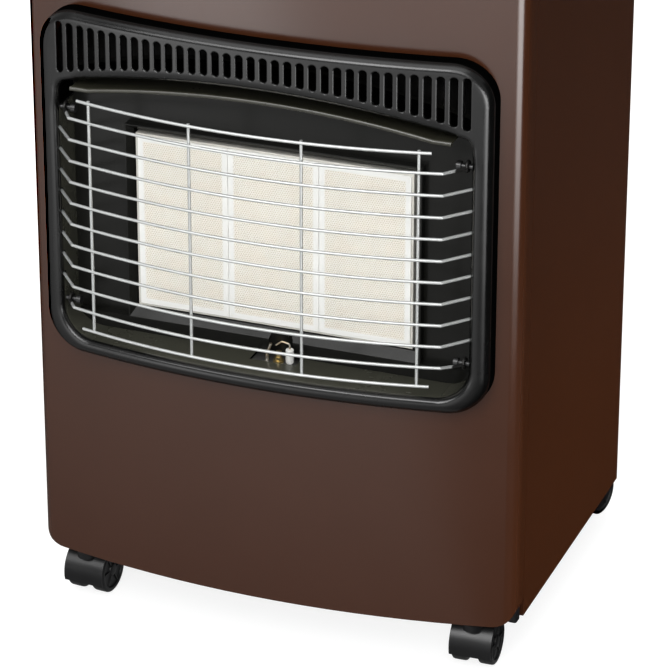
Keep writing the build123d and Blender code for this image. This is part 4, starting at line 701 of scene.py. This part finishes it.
class Paint(Enum):
    """Every finish of the heater."""

    BROWN = StovePaint(
        "brown_stove_paint", (62, 33, 18), roughness=0.2, specular=0.5, drift=0.02, grain_size=0.0026,
        relief=0.000006, gloss_range=0.03, rubs=0.08, dust=0.05,
    )
    CHARCOAL = FramePaint(
        "charcoal_bezel_paint", (9, 9, 9), roughness=0.24, specular=0.38, drift=0.05, grain_size=0.0016,
        relief=0.00001, dust=0.0, rubs=0.1,
    )
    BLACK_ENAMEL = StovePaint(
        "black_gloss_enamel", (23, 23, 21), roughness=0.22, specular=0.12, drift=0.1, grain_size=0.009,
        relief=0.00002, dust=0.0, rubs=0.2,
    )
    # Painted reflection: the hood is black enamel; its olive colour stands in for the plaques' warm light
    # mirrored in it.
    HOOD = StovePaint(
        "black_enamel_painted_reflection", (47, 46, 37), roughness=0.3, specular=0.5, drift=0.12, grain_size=0.006,
        relief=0.00002, dust=0.0, rubs=0.2,
    )
    BLACK_MOULDING = Finish(
        "black_moulded_plastic", (22, 22, 23), roughness=0.42, drift=0.08, grain_size=0.0007, relief=0.000018,
    )
    CASTOR = Finish(
        "castor_nylon", (20, 20, 21), roughness=0.36, specular=0.36, drift=0.1, grain_size=0.0011,
        relief=0.000012,
    )
    GREY_MOULDING = Finish(
        "grey_moulded_plastic", (86, 86, 88), roughness=0.45, drift=0.06, grain_size=0.0009, relief=0.000015,
    )
    BLACK_SCREW = SheetMetal(
        "blackened_screw", (16, 16, 17), roughness=0.32, specular=0.5, relief=0.00001, tarnish=(40, 38, 36),
    )
    CHROME = PlatedWire(
        "bright_plated_wire", (176, 178, 177), roughness=0.42, metallic=0.6, drift=0.02, relief=0.000003,
        tarnish=(150, 151, 149), tarnish_share=0.2,
    )
    GREY_STEEL = SheetMetal(
        "plain_rolled_steel", (150, 150, 148), roughness=0.42, metallic=1.0, relief=0.00001,
    )
    ZINC = ZincSheet(
        "zinc_plated_sheet", (176, 178, 176), roughness=0.36, metallic=1.0, relief=0.000008,
    )
    SHIELD = SheetMetal(
        "heat_dulled_zinc", (38, 37, 36), roughness=0.75, metallic=0.5, relief=0.00001, tarnish=(26, 25, 24),
    )
    CAST_ALLOY = Finish(
        "cast_alloy", (158, 158, 160), roughness=0.5, metallic=1.0, drift=0.1, grain_size=0.0012,
        relief=0.00004,
    )
    BRASS = SheetMetal(
        "turned_brass", (186, 168, 122), roughness=0.36, metallic=1.0, relief=0.000006, tarnish=(128, 92, 48),
    )
    PIPE_ALLOY = SheetMetal(
        "drawn_alloy_tube", (184, 184, 182), roughness=0.34, metallic=1.0, relief=0.000008,
    )
    HOT_STEEL = HeatTinted(
        "heat_tinted_steel", (170, 168, 162), roughness=0.34, metallic=1.0, relief=0.000008,
    )
    PALE_STEEL = SheetMetal(
        "pale_coated_steel", (206, 204, 196), roughness=0.5, metallic=0.3, relief=0.000008,
        tarnish=(178, 174, 162),
    )
    PLAQUE = FiredPlaque(
        "fired_plaque", (248, 245, 235), roughness=0.85, specular=0.2, drift=0.02, grain_size=0.0012,
        relief=0.0003,
    )
    INSULATOR = Finish(
        "white_glazed_insulator", (240, 240, 236), roughness=0.2, drift=0.03, grain_size=0.0012,
        relief=0.000008,
    )
    FIBRE = Finish(
        "pressed_fibre", (206, 202, 190), roughness=0.95, specular=0.1, drift=0.1, grain_size=0.0009,
        relief=0.0001,
    )
    SILICONE = Finish(
        "red_silicone_lead", (142, 28, 22), roughness=0.5, drift=0.08, grain_size=0.0015, relief=0.00001,
    )
    DIAL_INK = Finish(
        "pale_dial_ink", (214, 212, 206), roughness=0.6, drift=0.05, grain_size=0.0006, relief=0.000008,
    )

    def dress(self, *names: str) -> None:
        """Gives CAD nodes this finish.

        Args:
            names: the nodes.
        """
        for name in names:
            mesh = frame["nodes"][name].data
            mesh.materials.clear()
            mesh.materials.append(self.value.material())
            LOG.info("%s wears %s", name, self.value.name)


# ------------------------------------------------------------------ mesh making
def stand(name: str, data: object) -> bpy.types.Object:
    """Makes an object from a mesh, lamp or camera and puts it in the scene."""
    made = bpy.data.objects.new(name, data)
    bpy.context.scene.collection.objects.link(made)
    return made


def new_piece(name: str, shape: bmesh.types.BMesh, paint: Paint, sharp: float = 32.0) -> bpy.types.Object:
    """Makes an object at the origin from a bmesh, smooth but for its sharp edges.

    Args:
        name: the piece's name.
        shape: its bmesh, in the heater's own metres; it is freed.
        paint: its finish.
        sharp: angle in degrees above which an edge stays sharp.

    Returns:
        The object.
    """
    mesh = bpy.data.meshes.new(name)
    shape.to_mesh(mesh)
    shape.free()
    mesh.shade_smooth()
    mesh.set_sharp_from_angle(angle=math.radians(sharp))
    mesh.materials.append(paint.value.material())
    return stand(name, mesh)


def lathe(profile: Sequence[tuple[float, float]], segments: int) -> bmesh.types.BMesh:
    """Turns a profile about Z.

    Args:
        profile: points as (radius, height); a radius of 0 makes a closed pole.
        segments: how many steps round.

    Returns:
        A closed bmesh whose faces point outwards.
    """
    shape = bmesh.new()
    rings = []
    for radius, height in profile:
        if radius < 1e-7:
            rings.append([shape.verts.new((0, 0, height))] * segments)
            continue
        steps = (2 * math.pi * i / segments for i in range(segments))
        rings.append([shape.verts.new((radius * math.cos(a), radius * math.sin(a), height)) for a in steps])
    for near, far in zip(rings, rings[1:]):
        for i in range(segments):
            corners = [near[i], near[i - 1], far[i - 1], far[i]]
            unique = list(dict.fromkeys(corners))
            if len(unique) > 2:
                shape.faces.new(unique)
    bmesh.ops.recalc_face_normals(shape, faces=shape.faces)
    return shape


def place(shape: bmesh.types.BMesh, centre: Vector, axis: Vector) -> bmesh.types.BMesh:
    """Stands a shape built on Z at a point, along an axis.

    Args:
        shape: the bmesh, changed in place.
        centre: where its origin goes.
        axis: where its Z goes.

    Returns:
        The same bmesh.
    """
    turn = axis.to_track_quat("Z", "Y").to_matrix().to_4x4()
    bmesh.ops.transform(shape, matrix=Matrix.Translation(centre) @ turn, verts=shape.verts)
    return shape


@dataclass
class Stamp:
    """Geometry Nodes that set one small shape on each of a list of places."""

    name: str
    shape: bpy.types.Object
    paint: Paint
    size: float = 1.0

    def tree(self) -> bpy.types.NodeTree:
        """Builds the node tree.

        Returns:
            The tree, with the places as its geometry and the shape and size as inputs.
        """
        tree = bpy.data.node_groups.new(self.name + "_stamp", "GeometryNodeTree")
        face = tree.interface
        face.new_socket(name="Places", in_out="INPUT", socket_type="NodeSocketGeometry")
        face.new_socket(name="Shape", in_out="INPUT", socket_type="NodeSocketObject")
        face.new_socket(name="Size", in_out="INPUT", socket_type="NodeSocketFloat")
        face.new_socket(name="Piece", in_out="OUTPUT", socket_type="NodeSocketGeometry")
        wires = Wiring(tree)
        given = wires.node("NodeGroupInput")
        out = wires.node("NodeGroupOutput")
        facing = wires.node("GeometryNodeInputNamedAttribute", data_type="FLOAT_VECTOR")
        wires.feed(facing.inputs["Name"], "facing")
        turn = wires.node("FunctionNodeAlignRotationToVector", axis="Z")
        wires.feed(turn.inputs["Vector"], facing.outputs["Attribute"])
        source = wires.fed("GeometryNodeObjectInfo", Object=given.outputs["Shape"])
        spread = wires.fed(
            "GeometryNodeInstanceOnPoints",
            Points=given.outputs["Places"],
            Instance=source.outputs["Geometry"],
            Rotation=turn.outputs["Rotation"],
            Scale=given.outputs["Size"],
        )
        whole = wires.fed("GeometryNodeRealizeInstances", Geometry=spread.outputs["Instances"])
        dressed = self.paint.value.material()
        coat = wires.fed("GeometryNodeSetMaterial", Geometry=whole.outputs["Geometry"], Material=dressed)
        wires.feed(out.inputs["Piece"], coat.outputs["Geometry"])
        return tree

    def press(self, places: Sequence[tuple[Vector, Vector]]) -> bpy.types.Object:
        """Sets the shape on every place and returns it as one plain mesh.

        Args:
            places: each place and the way the shape's Z faces there.

        Returns:
            The finished piece, with no modifier left on it.
        """
        mesh = bpy.data.meshes.new(self.name + "_places")
        mesh.from_pydata([tuple(point) for point, _ in places], [], [])
        facing = mesh.attributes.new("facing", "FLOAT_VECTOR", "POINT")
        for entry, (_, way) in zip(facing.data, places):
            entry.vector = way
        made = stand(self.name, mesh)
        tree = self.tree()
        modifier = made.modifiers.new("stamp", "NODES")
        modifier.node_group = tree
        keys = {item.name: item.identifier for item in tree.interface.items_tree if item.in_out == "INPUT"}
        modifier[keys["Shape"]] = self.shape
        modifier[keys["Size"]] = self.size
        seen = made.evaluated_get(bpy.context.evaluated_depsgraph_get())
        plain = bpy.data.meshes.new_from_object(seen)
        made.modifiers.clear()
        made.data = plain
        plain.name = self.name
        bpy.data.meshes.remove(mesh)
        bpy.data.objects.remove(self.shape)
        LOG.info("%s: %d places, %d faces", self.name, len(places), len(plain.polygons))
        return made


def settle(piece: bpy.types.Object, body: str, slot: str, *replaced: str) -> bpy.types.Object:
    """Puts a finished piece on its body and hides what it stands for.

    Args:
        piece: the piece.
        body: the body it moves with.
        slot: the record's slot; not used.
        replaced: CAD nodes that it replaces.

    Returns:
        The piece.
    """
    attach(piece, body)
    if replaced:
        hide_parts(*replaced)
    LOG.info("%s rides %s", piece.name, body)
    return piece


def joint_axis(name: str) -> Vector:
    """The direction of one of the heater's joints."""
    found = next(j for j in frame["joints"] if j["name"] == name)
    return Vector(found["axis"]).normalized()


# --------------------------------------------------------------- sub-assemblies
@dataclass
class Cabinet:
    """Sheet-metal case: front, sides, lid, tray, back sheets and their screws."""

    def dress(self) -> None:
        """Paints the sheets."""
        Paint.BROWN.dress("front_panel", "side_panel_left", "side_panel_right", "lid")
        Paint.BROWN.dress("rear_door", "rear_upper_panel")
        Paint.BLACK_MOULDING.dress("corner_blocks")
        Paint.ZINC.dress("base_tray")
        Paint.SHIELD.dress("heat_shield")
        Paint.GREY_STEEL.dress("door_hinge_lug", "door_hinge_pins", "door_catch")
        Paint.BLACK_SCREW.dress("rear_screws")


@dataclass
class Bezel:
    """Black frame round the burner opening."""

    def dress(self) -> None:
        """Paints the frame."""
        Paint.CHARCOAL.dress("bezel")
        Paint.BLACK_SCREW.dress("guard_screws")


@dataclass
class Guard:
    """Welded wire guard, and the small welds where its wires cross."""

    front_y: float = -198.875 * MM
    wire: float = 1.25 * MM
    sink: float = 0.4 * MM
    bow_depth: float = 15.9 * MM
    upright_x: float = 138.4 * MM
    inner_x: float = 0.34 * 138.4 * MM
    middle_z: float = 374.6 * MM
    pitch: float = 18.4 * MM
    middle_wires: int = 10
    end_gap: float = 16.6 * MM
    nugget: float = 1.35 * MM
    nugget_shape: tuple[float, float, float] = (1.15, 1.15, 0.55)

    def wire_y(self, x: float) -> float:
        """Depth of the horizontal wires' centre line at a distance from the middle."""
        radius = (self.upright_x**2 + self.bow_depth**2) / (2 * self.bow_depth)
        fall = radius - math.sqrt(radius**2 - x**2)
        return self.front_y - self.bow_depth - 2 * self.wire + self.sink + fall

    def heights(self) -> list[float]:
        """Heights of all horizontal wires, from the lowest."""
        first = self.middle_z - self.pitch * (self.middle_wires - 1) / 2
        middle = [first + self.pitch * i for i in range(self.middle_wires)]
        return [middle[0] - self.end_gap, *middle, middle[-1] + self.end_gap]

    def crossings(self) -> list[tuple[Vector, Vector]]:
        """Each crossing of two wires, and the way its weld faces."""
        found = []
        for x in (-self.upright_x, -self.inner_x, self.inner_x, self.upright_x):
            depth = self.wire_y(x) + self.wire - self.sink / 2
            found += [(Vector((x, depth, z)), Vector((0, -1, 0))) for z in self.heights()]
        return found

    def build(self) -> None:
        """Plates the wires and sets a weld nugget on every crossing."""
        Paint.CHROME.dress("guard")
        bead = bmesh.new()
        bmesh.ops.create_uvsphere(bead, u_segments=10, v_segments=6, radius=self.nugget)
        bmesh.ops.scale(bead, vec=self.nugget_shape, verts=bead.verts)
        shape = new_piece("weld_bead", bead, Paint.CHROME, 180)
        settle(Stamp("guard_welds", shape, Paint.CHROME).press(self.crossings()), "case", "chrome_wire")


@dataclass
class FireChamber:
    """What shows through the opening: reflector, hood, rim and plaques."""

    def dress(self) -> None:
        """Finishes the chamber."""
        Paint.BLACK_ENAMEL.dress("reflector")
        Paint.HOOD.dress("inner_hood")
        Paint.ZINC.dress("burner_bodies", "burner_mounts")
        Paint.PALE_STEEL.dress("burner_frame")
        Paint.PLAQUE.dress("ceramic_plaque_left", "ceramic_plaque_centre", "ceramic_plaque_right")
        Paint.FIBRE.dress("plaque_gaskets")


@dataclass
class GasWay:
    """Valve, pipes, injectors, mixing tubes and the pilot."""

    def dress(self) -> None:
        """Finishes the gas way and the pilot."""
        Paint.CAST_ALLOY.dress("gas_valve_body", "mixing_tubes")
        Paint.PIPE_ALLOY.dress("gas_pipes", "inlet_pipe", "pilot_tube")
        Paint.BRASS.dress("injectors", "pilot_burner", "hose_tail")
        Paint.GREY_STEEL.dress("injector_bar", "pilot_bracket", "valve_plunger", "valve_spindle")
        Paint.HOT_STEEL.dress("spark_electrode", "thermocouple")
        Paint.INSULATOR.dress("electrode_insulator")
        Paint.GREY_MOULDING.dress("igniter_body")
        Paint.SILICONE.dress("ignition_lead")


@dataclass
class Controls:
    """Control tray in the lid with its knob, igniter button and printed dial."""

    knob_x: float = 95.0 * MM
    knob_y: float = -102.875 * MM
    floor_z: float = 706.0 * MM
    knob_radius: float = 20.0 * MM
    knob_low: float = 711.5 * MM
    mark_radius: float = 24.0 * MM
    figure_radius: float = 30.0 * MM
    figure_size: float = 5.4 * MM
    figures: str = "0123"
    sweep: float = 240.0
    ticks: int = 25
    tick_size: tuple[float, float, float] = (0.5 * MM, 0.16 * MM, 2.2 * MM)
    ink: float = 0.06 * MM
    ribs: int = 36
    rib_profile: tuple[tuple[float, float], ...] = ((0, 0), (0.55, 0), (0.55, 3.4), (0.3, 3.9), (0, 4.0))

    def dress(self) -> None:
        """Finishes the tray, knob and button."""
        Paint.BLACK_MOULDING.dress("control_panel", "control_knob")
        Paint.BLACK_MOULDING.dress("igniter_button")

    def at(self, angle: float, radius: float, z: float) -> Vector:
        """A point round the knob, with the angle in degrees clockwise from the back."""
        turn = math.radians(angle)
        return Vector((self.knob_x + radius * math.sin(turn), self.knob_y + radius * math.cos(turn), z))

    def build(self) -> None:
        """Adds the knob's ribs and the printed dial."""
        rib = lathe([(radius * MM, height * MM) for radius, height in self.rib_profile], 8)
        shape = new_piece("knob_rib", rib, Paint.BLACK_MOULDING)
        up = Vector((0, 0, 1))
        rim = []
        for i in range(self.ribs):
            foot = self.at(360 * i / self.ribs, self.knob_radius - 0.1 * MM, self.knob_low + 0.4 * MM)
            rim.append((foot, up))
        settle(Stamp("knob_ribs", shape, Paint.BLACK_MOULDING).press(rim), "control_knob", "black_plastic")
        tick = bmesh.new()
        bmesh.ops.create_cube(tick, size=1.0)
        bmesh.ops.scale(tick, vec=self.tick_size, verts=tick.verts)
        shape = new_piece("dial_tick", tick, Paint.DIAL_INK)
        marks = []
        for i in range(self.ticks):
            angle = -self.sweep * i / (self.ticks - 1)
            point = self.at(angle, self.mark_radius, self.floor_z + self.ink)
            out = self.at(angle, self.mark_radius + MM, self.floor_z + self.ink) - point
            marks.append((point, out))
        settle(Stamp("dial_ticks", shape, Paint.DIAL_INK).press(marks), "case", "grey_plastic")
        settle(new_piece("dial_figures", self.printed_figures(), Paint.DIAL_INK), "case", "grey_plastic")

    def printed_figures(self) -> bmesh.types.BMesh:
        """The dial's plain figures, one at each setting, flat on the tray's floor.

        Returns:
            The figures as one shape.
        """
        shape = bmesh.new()
        for i, figure in enumerate(self.figures):
            text = bpy.data.curves.new("figure", "FONT")
            text.body = figure
            text.size = self.figure_size
            text.align_x, text.align_y = "CENTER", "CENTER"
            text.extrude = 0.04 * MM
            holder = bpy.data.objects.new("figure", text)
            mesh = bpy.data.meshes.new_from_object(holder)
            angle = -self.sweep * i / (len(self.figures) - 1)
            mesh.transform(Matrix.Translation(self.at(angle, self.figure_radius, self.floor_z + 0.07 * MM)))
            shape.from_mesh(mesh)
            bpy.data.meshes.remove(mesh)
            bpy.data.objects.remove(holder)
            bpy.data.curves.remove(text)
        return shape


@dataclass
class CastorWheel:
    """One of a castor's two wheels: rounded tread, dished hub with ribs, axle boss."""

    place: str
    side: str
    width: float = 12.4 * MM
    ribs: int = 6
    rib_size: tuple[float, float, float] = (8.4 * MM, 1.3 * MM, 1.2 * MM)
    rib_place: tuple[float, float, float] = (10.3 * MM, 0.0, 11.2 * MM)
    segments: int = 48

    def profile(self) -> list[tuple[float, float]]:
        """Section of the wheel, from its inner face at 0 to its outer face."""
        points = [
            (0, 10.4), (3.1, 10.4), (3.1, 0.3), (3.6, 0), (17.6, 0), (18.9, 0.25), (19.7, 0.9), (19.95, 1.7),
            (20.0, 4.0), (20.0, 6.1), (19.7, 6.3), (20.0, 6.5), (20.0, 8.6), (19.95, 10.7), (19.7, 11.5),
            (18.9, 12.15), (17.6, 12.4), (16.4, 12.4), (15.8, 12.2), (15.4, 11.6), (15.0, 10.9), (14.2, 10.7),
            (6.4, 10.7), (5.8, 10.9), (5.4, 11.6), (5.1, 12.15), (4.4, 12.4), (2.0, 12.55), (0, 12.6),
        ]
        return [(radius * MM, across * MM) for radius, across in points]

    def build(self) -> None:
        """Builds the wheel and its hub ribs and puts them on their body."""
        node = f"castor_{self.place}_wheel_{self.side}"
        low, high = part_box(node)
        inward = joint_axis(f"roll_{self.place}_{self.side}")
        outward = inward if (inward.x > 0) == (self.side == "right") else -inward
        middle = (low + high) / 2
        shape = lathe(self.profile(), self.segments)
        rib = bmesh.new()
        for i in range(self.ribs):
            made = bmesh.ops.create_cube(rib, size=1.0)["verts"]
            bmesh.ops.scale(rib, vec=self.rib_size, verts=made)
            bmesh.ops.translate(rib, vec=self.rib_place, verts=made)
            spin = Matrix.Rotation(2 * math.pi * i / self.ribs, 4, "Z")
            bmesh.ops.transform(rib, matrix=spin, verts=made)
        ribs = bpy.data.meshes.new("ribs")
        rib.to_mesh(ribs)
        rib.free()
        shape.from_mesh(ribs)
        bpy.data.meshes.remove(ribs)
        place(shape, middle - outward * self.width / 2, outward)
        piece = new_piece(f"{node}_turned", shape, Paint.CASTOR)
        settle(piece, node, "castor_plastic", node)


@dataclass
class Castors:
    """Four twin-wheel castors with their hoods, stems and bushes."""

    places: tuple[str, ...] = ("front_left", "front_right", "rear_left", "rear_right")

    def build(self) -> None:
        """Finishes the hoods and stems and builds the wheels."""
        for spot in self.places:
            Paint.CASTOR.dress(f"castor_{spot}_hood")
            for side in ("left", "right"):
                CastorWheel(spot, side).build()
        Paint.GREY_STEEL.dress("castor_stems")
        Paint.BLACK_MOULDING.dress("stem_bushes")


# ----------------------------------------------------------------------- studio
@dataclass
class Lamp:
    """A soft rectangular lamp."""

    name: str
    place: tuple[float, float, float]
    aim: tuple[float, float, float]
    size: tuple[float, float]
    watts: float
    mirrored: bool = True
    lights: bool = True

    def hang(self) -> None:
        """Adds the lamp to the scene."""
        data = bpy.data.lights.new(self.name, "AREA")
        data.shape = "RECTANGLE"
        data.size, data.size_y = self.size
        data.energy = self.watts
        made = stand(self.name, data)
        made.location = self.place
        made.rotation_euler = (Vector(self.aim) - Vector(self.place)).to_track_quat("-Z", "Y").to_euler()
        made.visible_camera = False
        made.visible_glossy = self.mirrored
        made.visible_diffuse = self.lights
        LOG.info("lamp %s", self.name)


@dataclass(frozen=True)
class Band:
    """A smooth change of brightness between two bearings or two distances."""

    start: float
    end: float
    at_start: float
    at_end: float

    def over(self, wires: Wiring, value: Socket) -> Socket:
        """The brightness for a bearing or a distance."""
        return wires.remap(value, self.start, self.end, self.at_start, self.at_end)


@dataclass
class Studio:
    """White floor and surroundings, soft lamps, and the camera.

    Bearings on the floor are in radians about the heater's near corner: 0 straight ahead of the
    heater, more to its right. Distances are in metres.
    """

    eye: tuple[float, float, float] = (1.0594, -2.803075, 1.64)
    azimuth: float = 21.0
    elevation: float = 25.57
    lens: float = 210.4
    corner: tuple[float, float] = (0.2, -0.17)
    floor_half: float = 12.0
    floor_glow: float = 0.84
    floor_lit: float = 0.62
    floor_seen: float = 0.3
    fill: float = 0.35
    mirrored_world: float = 0.4
    paper_near: float = 0.26
    paper_rise: float = 1.15
    paper_most: float = 2.0
    hollow_turn: Band = Band(-0.3, 0.05, 0.0, 0.55)
    hollow_ahead: Band = Band(1.0, 1.3, 1.0, 0.0)
    glow_in: Band = Band(-0.3, -0.6, 0.0, 1.0)
    glow_out: Band = Band(-0.8, -1.0, 1.0, -0.5)
    glow_ahead: Band = Band(0.5, 1.3, 0.0, 1.9)
    strip_in: Band = Band(0.36, 0.5, 0.0, 1.0)
    strip_out: Band = Band(1.0, 1.14, 1.0, 0.0)
    strip_reach: Band = Band(0.55, 1.6, 0.0, 10.0)
    paper_dim: Band = Band(0.15, 0.4, 1.0, 0.4)
    paper_out: Band = Band(1.1, 1.5, 1.0, 0.0)
    behind_turn: Band = Band(1.2, 1.6, 0.0, 1.0)
    behind_reach: Band = Band(0.3, 1.3, 0.0, 0.02)
    lamps: list[Lamp] = field(
        default_factory=lambda: [
            Lamp("key", (0.5, -3.2, 2.6), (0, -0.1, 0.35), (3.0, 2.2), 112),
            Lamp("sheen", (-1.0, -3.2, 2.6), (0, -0.1, 0.35), (2.6, 1.7), 104, lights=False),
            Lamp("top", (0.0, -0.5, 3.0), (0, 0, 0.3), (3.0, 2.4), 50),
            Lamp("rear", (-0.9, 3.0, 1.6), (0.0, 0.2, 0.3), (1.6, 1.2), 70, mirrored=False),
            Lamp("low_right", (0.62, 0.02, 0.06), (0.2, 0.0, 0.2), (0.6, 0.1), 1.6, mirrored=False),
        ]
    )

    def camera(self) -> None:
        """Sets the camera at the photograph's viewing angle."""
        turn, tilt = math.radians(self.azimuth), math.radians(self.elevation)
        back = Vector((math.sin(turn) * math.cos(tilt), -math.cos(turn) * math.cos(tilt), math.sin(tilt)))
        data = bpy.data.cameras.new("camera")
        data.lens = self.lens
        data.sensor_width = 36
        data.sensor_fit = "AUTO"
        data.clip_start, data.clip_end = 0.05, 100
        made = stand("camera", data)
        made.location = self.eye
        made.rotation_mode = "QUATERNION"
        made.rotation_quaternion = (-back).to_track_quat("-Z", "Y")
        bpy.context.scene.camera = made

    def rays(self, wires: Wiring) -> tuple[Socket, Socket]:
        """1 for rays from the camera, and 1 for rays off gloss or through glass."""
        path = wires.node("ShaderNodeLightPath")
        mirror = wires.maths("MAXIMUM", path.outputs["Is Glossy Ray"], path.outputs["Is Transmission Ray"])
        return path.outputs["Is Camera Ray"], mirror

    def world(self) -> None:
        """White surroundings for rays that see them, and a softer fill for the rest."""
        world = bpy.data.worlds.new("studio")
        world.use_nodes = True
        bpy.context.scene.world = world
        wires = Wiring(world.node_tree)
        ground = world.node_tree.nodes["Background"]
        ground.inputs["Color"].default_value = (1, 1, 1, 1)
        camera, mirror = self.rays(wires)
        seen = wires.maths("MAXIMUM", camera, mirror)
        lit = wires.maths("MULTIPLY_ADD", seen, 1.0 - self.fill, self.fill)
        cut = wires.times(wires.minus(seen, camera), 1.0 - self.mirrored_world)
        wires.feed(ground.inputs["Strength"], wires.minus(lit, cut))

    def mirrored_floor(self, wires: Wiring) -> Socket:
        """How bright the floor is in the heater's gloss: pale ahead, a strip to the right, dark behind.

        Args:
            wires: the floor material's wiring.

        Returns:
            The brightness.
        """
        across, along, _ = wires.split(wires.node("ShaderNodeTexCoord").outputs["Object"])
        corner_x, corner_y = self.corner
        right = wires.minus(across, corner_x)
        ahead = wires.minus(corner_y, along)
        turn = wires.maths("ARCTAN2", right, ahead)
        rise = wires.maths("MULTIPLY_ADD", ahead, self.paper_rise, self.paper_near)
        paper = wires.maths("MINIMUM", rise, self.paper_most)
        hollow = wires.times(self.hollow_turn.over(wires, turn), self.hollow_ahead.over(wires, ahead))
        paper = wires.times(paper, wires.minus(1.0, hollow))
        glow = wires.times(self.glow_in.over(wires, turn), self.glow_out.over(wires, turn))
        paper = wires.plus(paper, wires.times(glow, self.glow_ahead.over(wires, ahead)))
        strip = wires.times(self.strip_in.over(wires, turn), self.strip_out.over(wires, turn))
        level = wires.fed("ShaderNodeCombineXYZ", X=right, Y=ahead)
        reach = wires.vector("LENGTH", level.outputs[0]).outputs["Value"]
        paper = wires.times(paper, self.paper_dim.over(wires, turn))
        paper = wires.times(paper, self.paper_out.over(wires, turn))
        lit = wires.plus(paper, wires.times(strip, self.strip_reach.over(wires, reach)))
        behind = wires.times(self.behind_turn.over(wires, turn), self.behind_reach.over(wires, reach))
        return wires.plus(lit, behind)

    def floor(self) -> None:
        """Pale floor that keeps the heater's shadow."""
        shape = bmesh.new()
        bmesh.ops.create_grid(shape, x_segments=1, y_segments=1, size=self.floor_half)
        mesh = bpy.data.meshes.new("floor")
        shape.to_mesh(mesh)
        shape.free()
        made = stand("floor", mesh)
        material = bpy.data.materials.new("studio_floor")
        material.use_nodes = True
        tree = material.node_tree
        tree.nodes.clear()
        wires = Wiring(tree)
        camera, mirror = self.rays(wires)
        lit, seen = (self.floor_lit,) * 3 + (1,), (self.floor_seen,) * 3 + (1,)
        paper = wires.fed("ShaderNodeBsdfDiffuse", Color=wires.blend(camera, lit, seen))
        mirrored = wires.times(mirror, self.mirrored_floor(wires))
        strength = wires.plus(wires.times(camera, self.floor_glow), mirrored)
        glow = wires.fed("ShaderNodeEmission", Strength=strength)
        both = wires.filled("ShaderNodeAddShader", paper.outputs[0], glow.outputs[0])
        dark = wires.filled("ShaderNodeMixShader", mirror, both.outputs[0], glow.outputs[0])
        wires.fed("ShaderNodeOutputMaterial", Surface=dark.outputs[0])
        mesh.materials.append(material)

    def flag(self, name: str, start: tuple[float, float], end: tuple[float, float], high: float) -> None:
        """Stands a black card where only reflections see it, as a studio shapes gloss.

        Args:
            name: the card's name.
            start: one end of its foot on the floor.
            end: the other end.
            high: its height.
        """
        mesh = bpy.data.meshes.new(name)
        mesh.from_pydata([(*start, 0.0), (*end, 0.0), (*end, high), (*start, high)], [], [(0, 1, 2, 3)])
        made = stand(name, mesh)
        material = bpy.data.materials.new(name)
        material.use_nodes = True
        shader = material.node_tree.nodes["Principled BSDF"]
        shader.inputs["Base Color"].default_value = (0.01, 0.01, 0.01, 1)
        shader.inputs["Roughness"].default_value = 1.0
        mesh.materials.append(material)
        made.visible_camera = False
        made.visible_diffuse = False
        made.visible_shadow = False
        made.visible_transmission = False

    def build(self) -> None:
        """Sets up the floor, surroundings, lamps and camera."""
        self.flag("back_flag", (-1.4, 1.5), (2.2, 1.5), 1.7)
        self.flag("right_flag", (2.0, -0.1), (2.0, 1.6), 1.5)
        self.floor()
        self.world()
        for lamp in self.lamps:
            lamp.hang()
        self.camera()
        bpy.context.scene.view_settings.view_transform = "Standard"


def main() -> None:
    """Dresses the CAD nodes and builds the small parts and the studio."""
    logging.basicConfig(level=logging.INFO, format="%(name)s: %(message)s")
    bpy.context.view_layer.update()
    Cabinet().dress()
    Bezel().dress()
    Guard().build()
    FireChamber().dress()
    GasWay().dress()
    controls = Controls()
    controls.dress()
    controls.build()
    Castors().build()
    Studio().build()


if __name__ == "__main__":
    main()
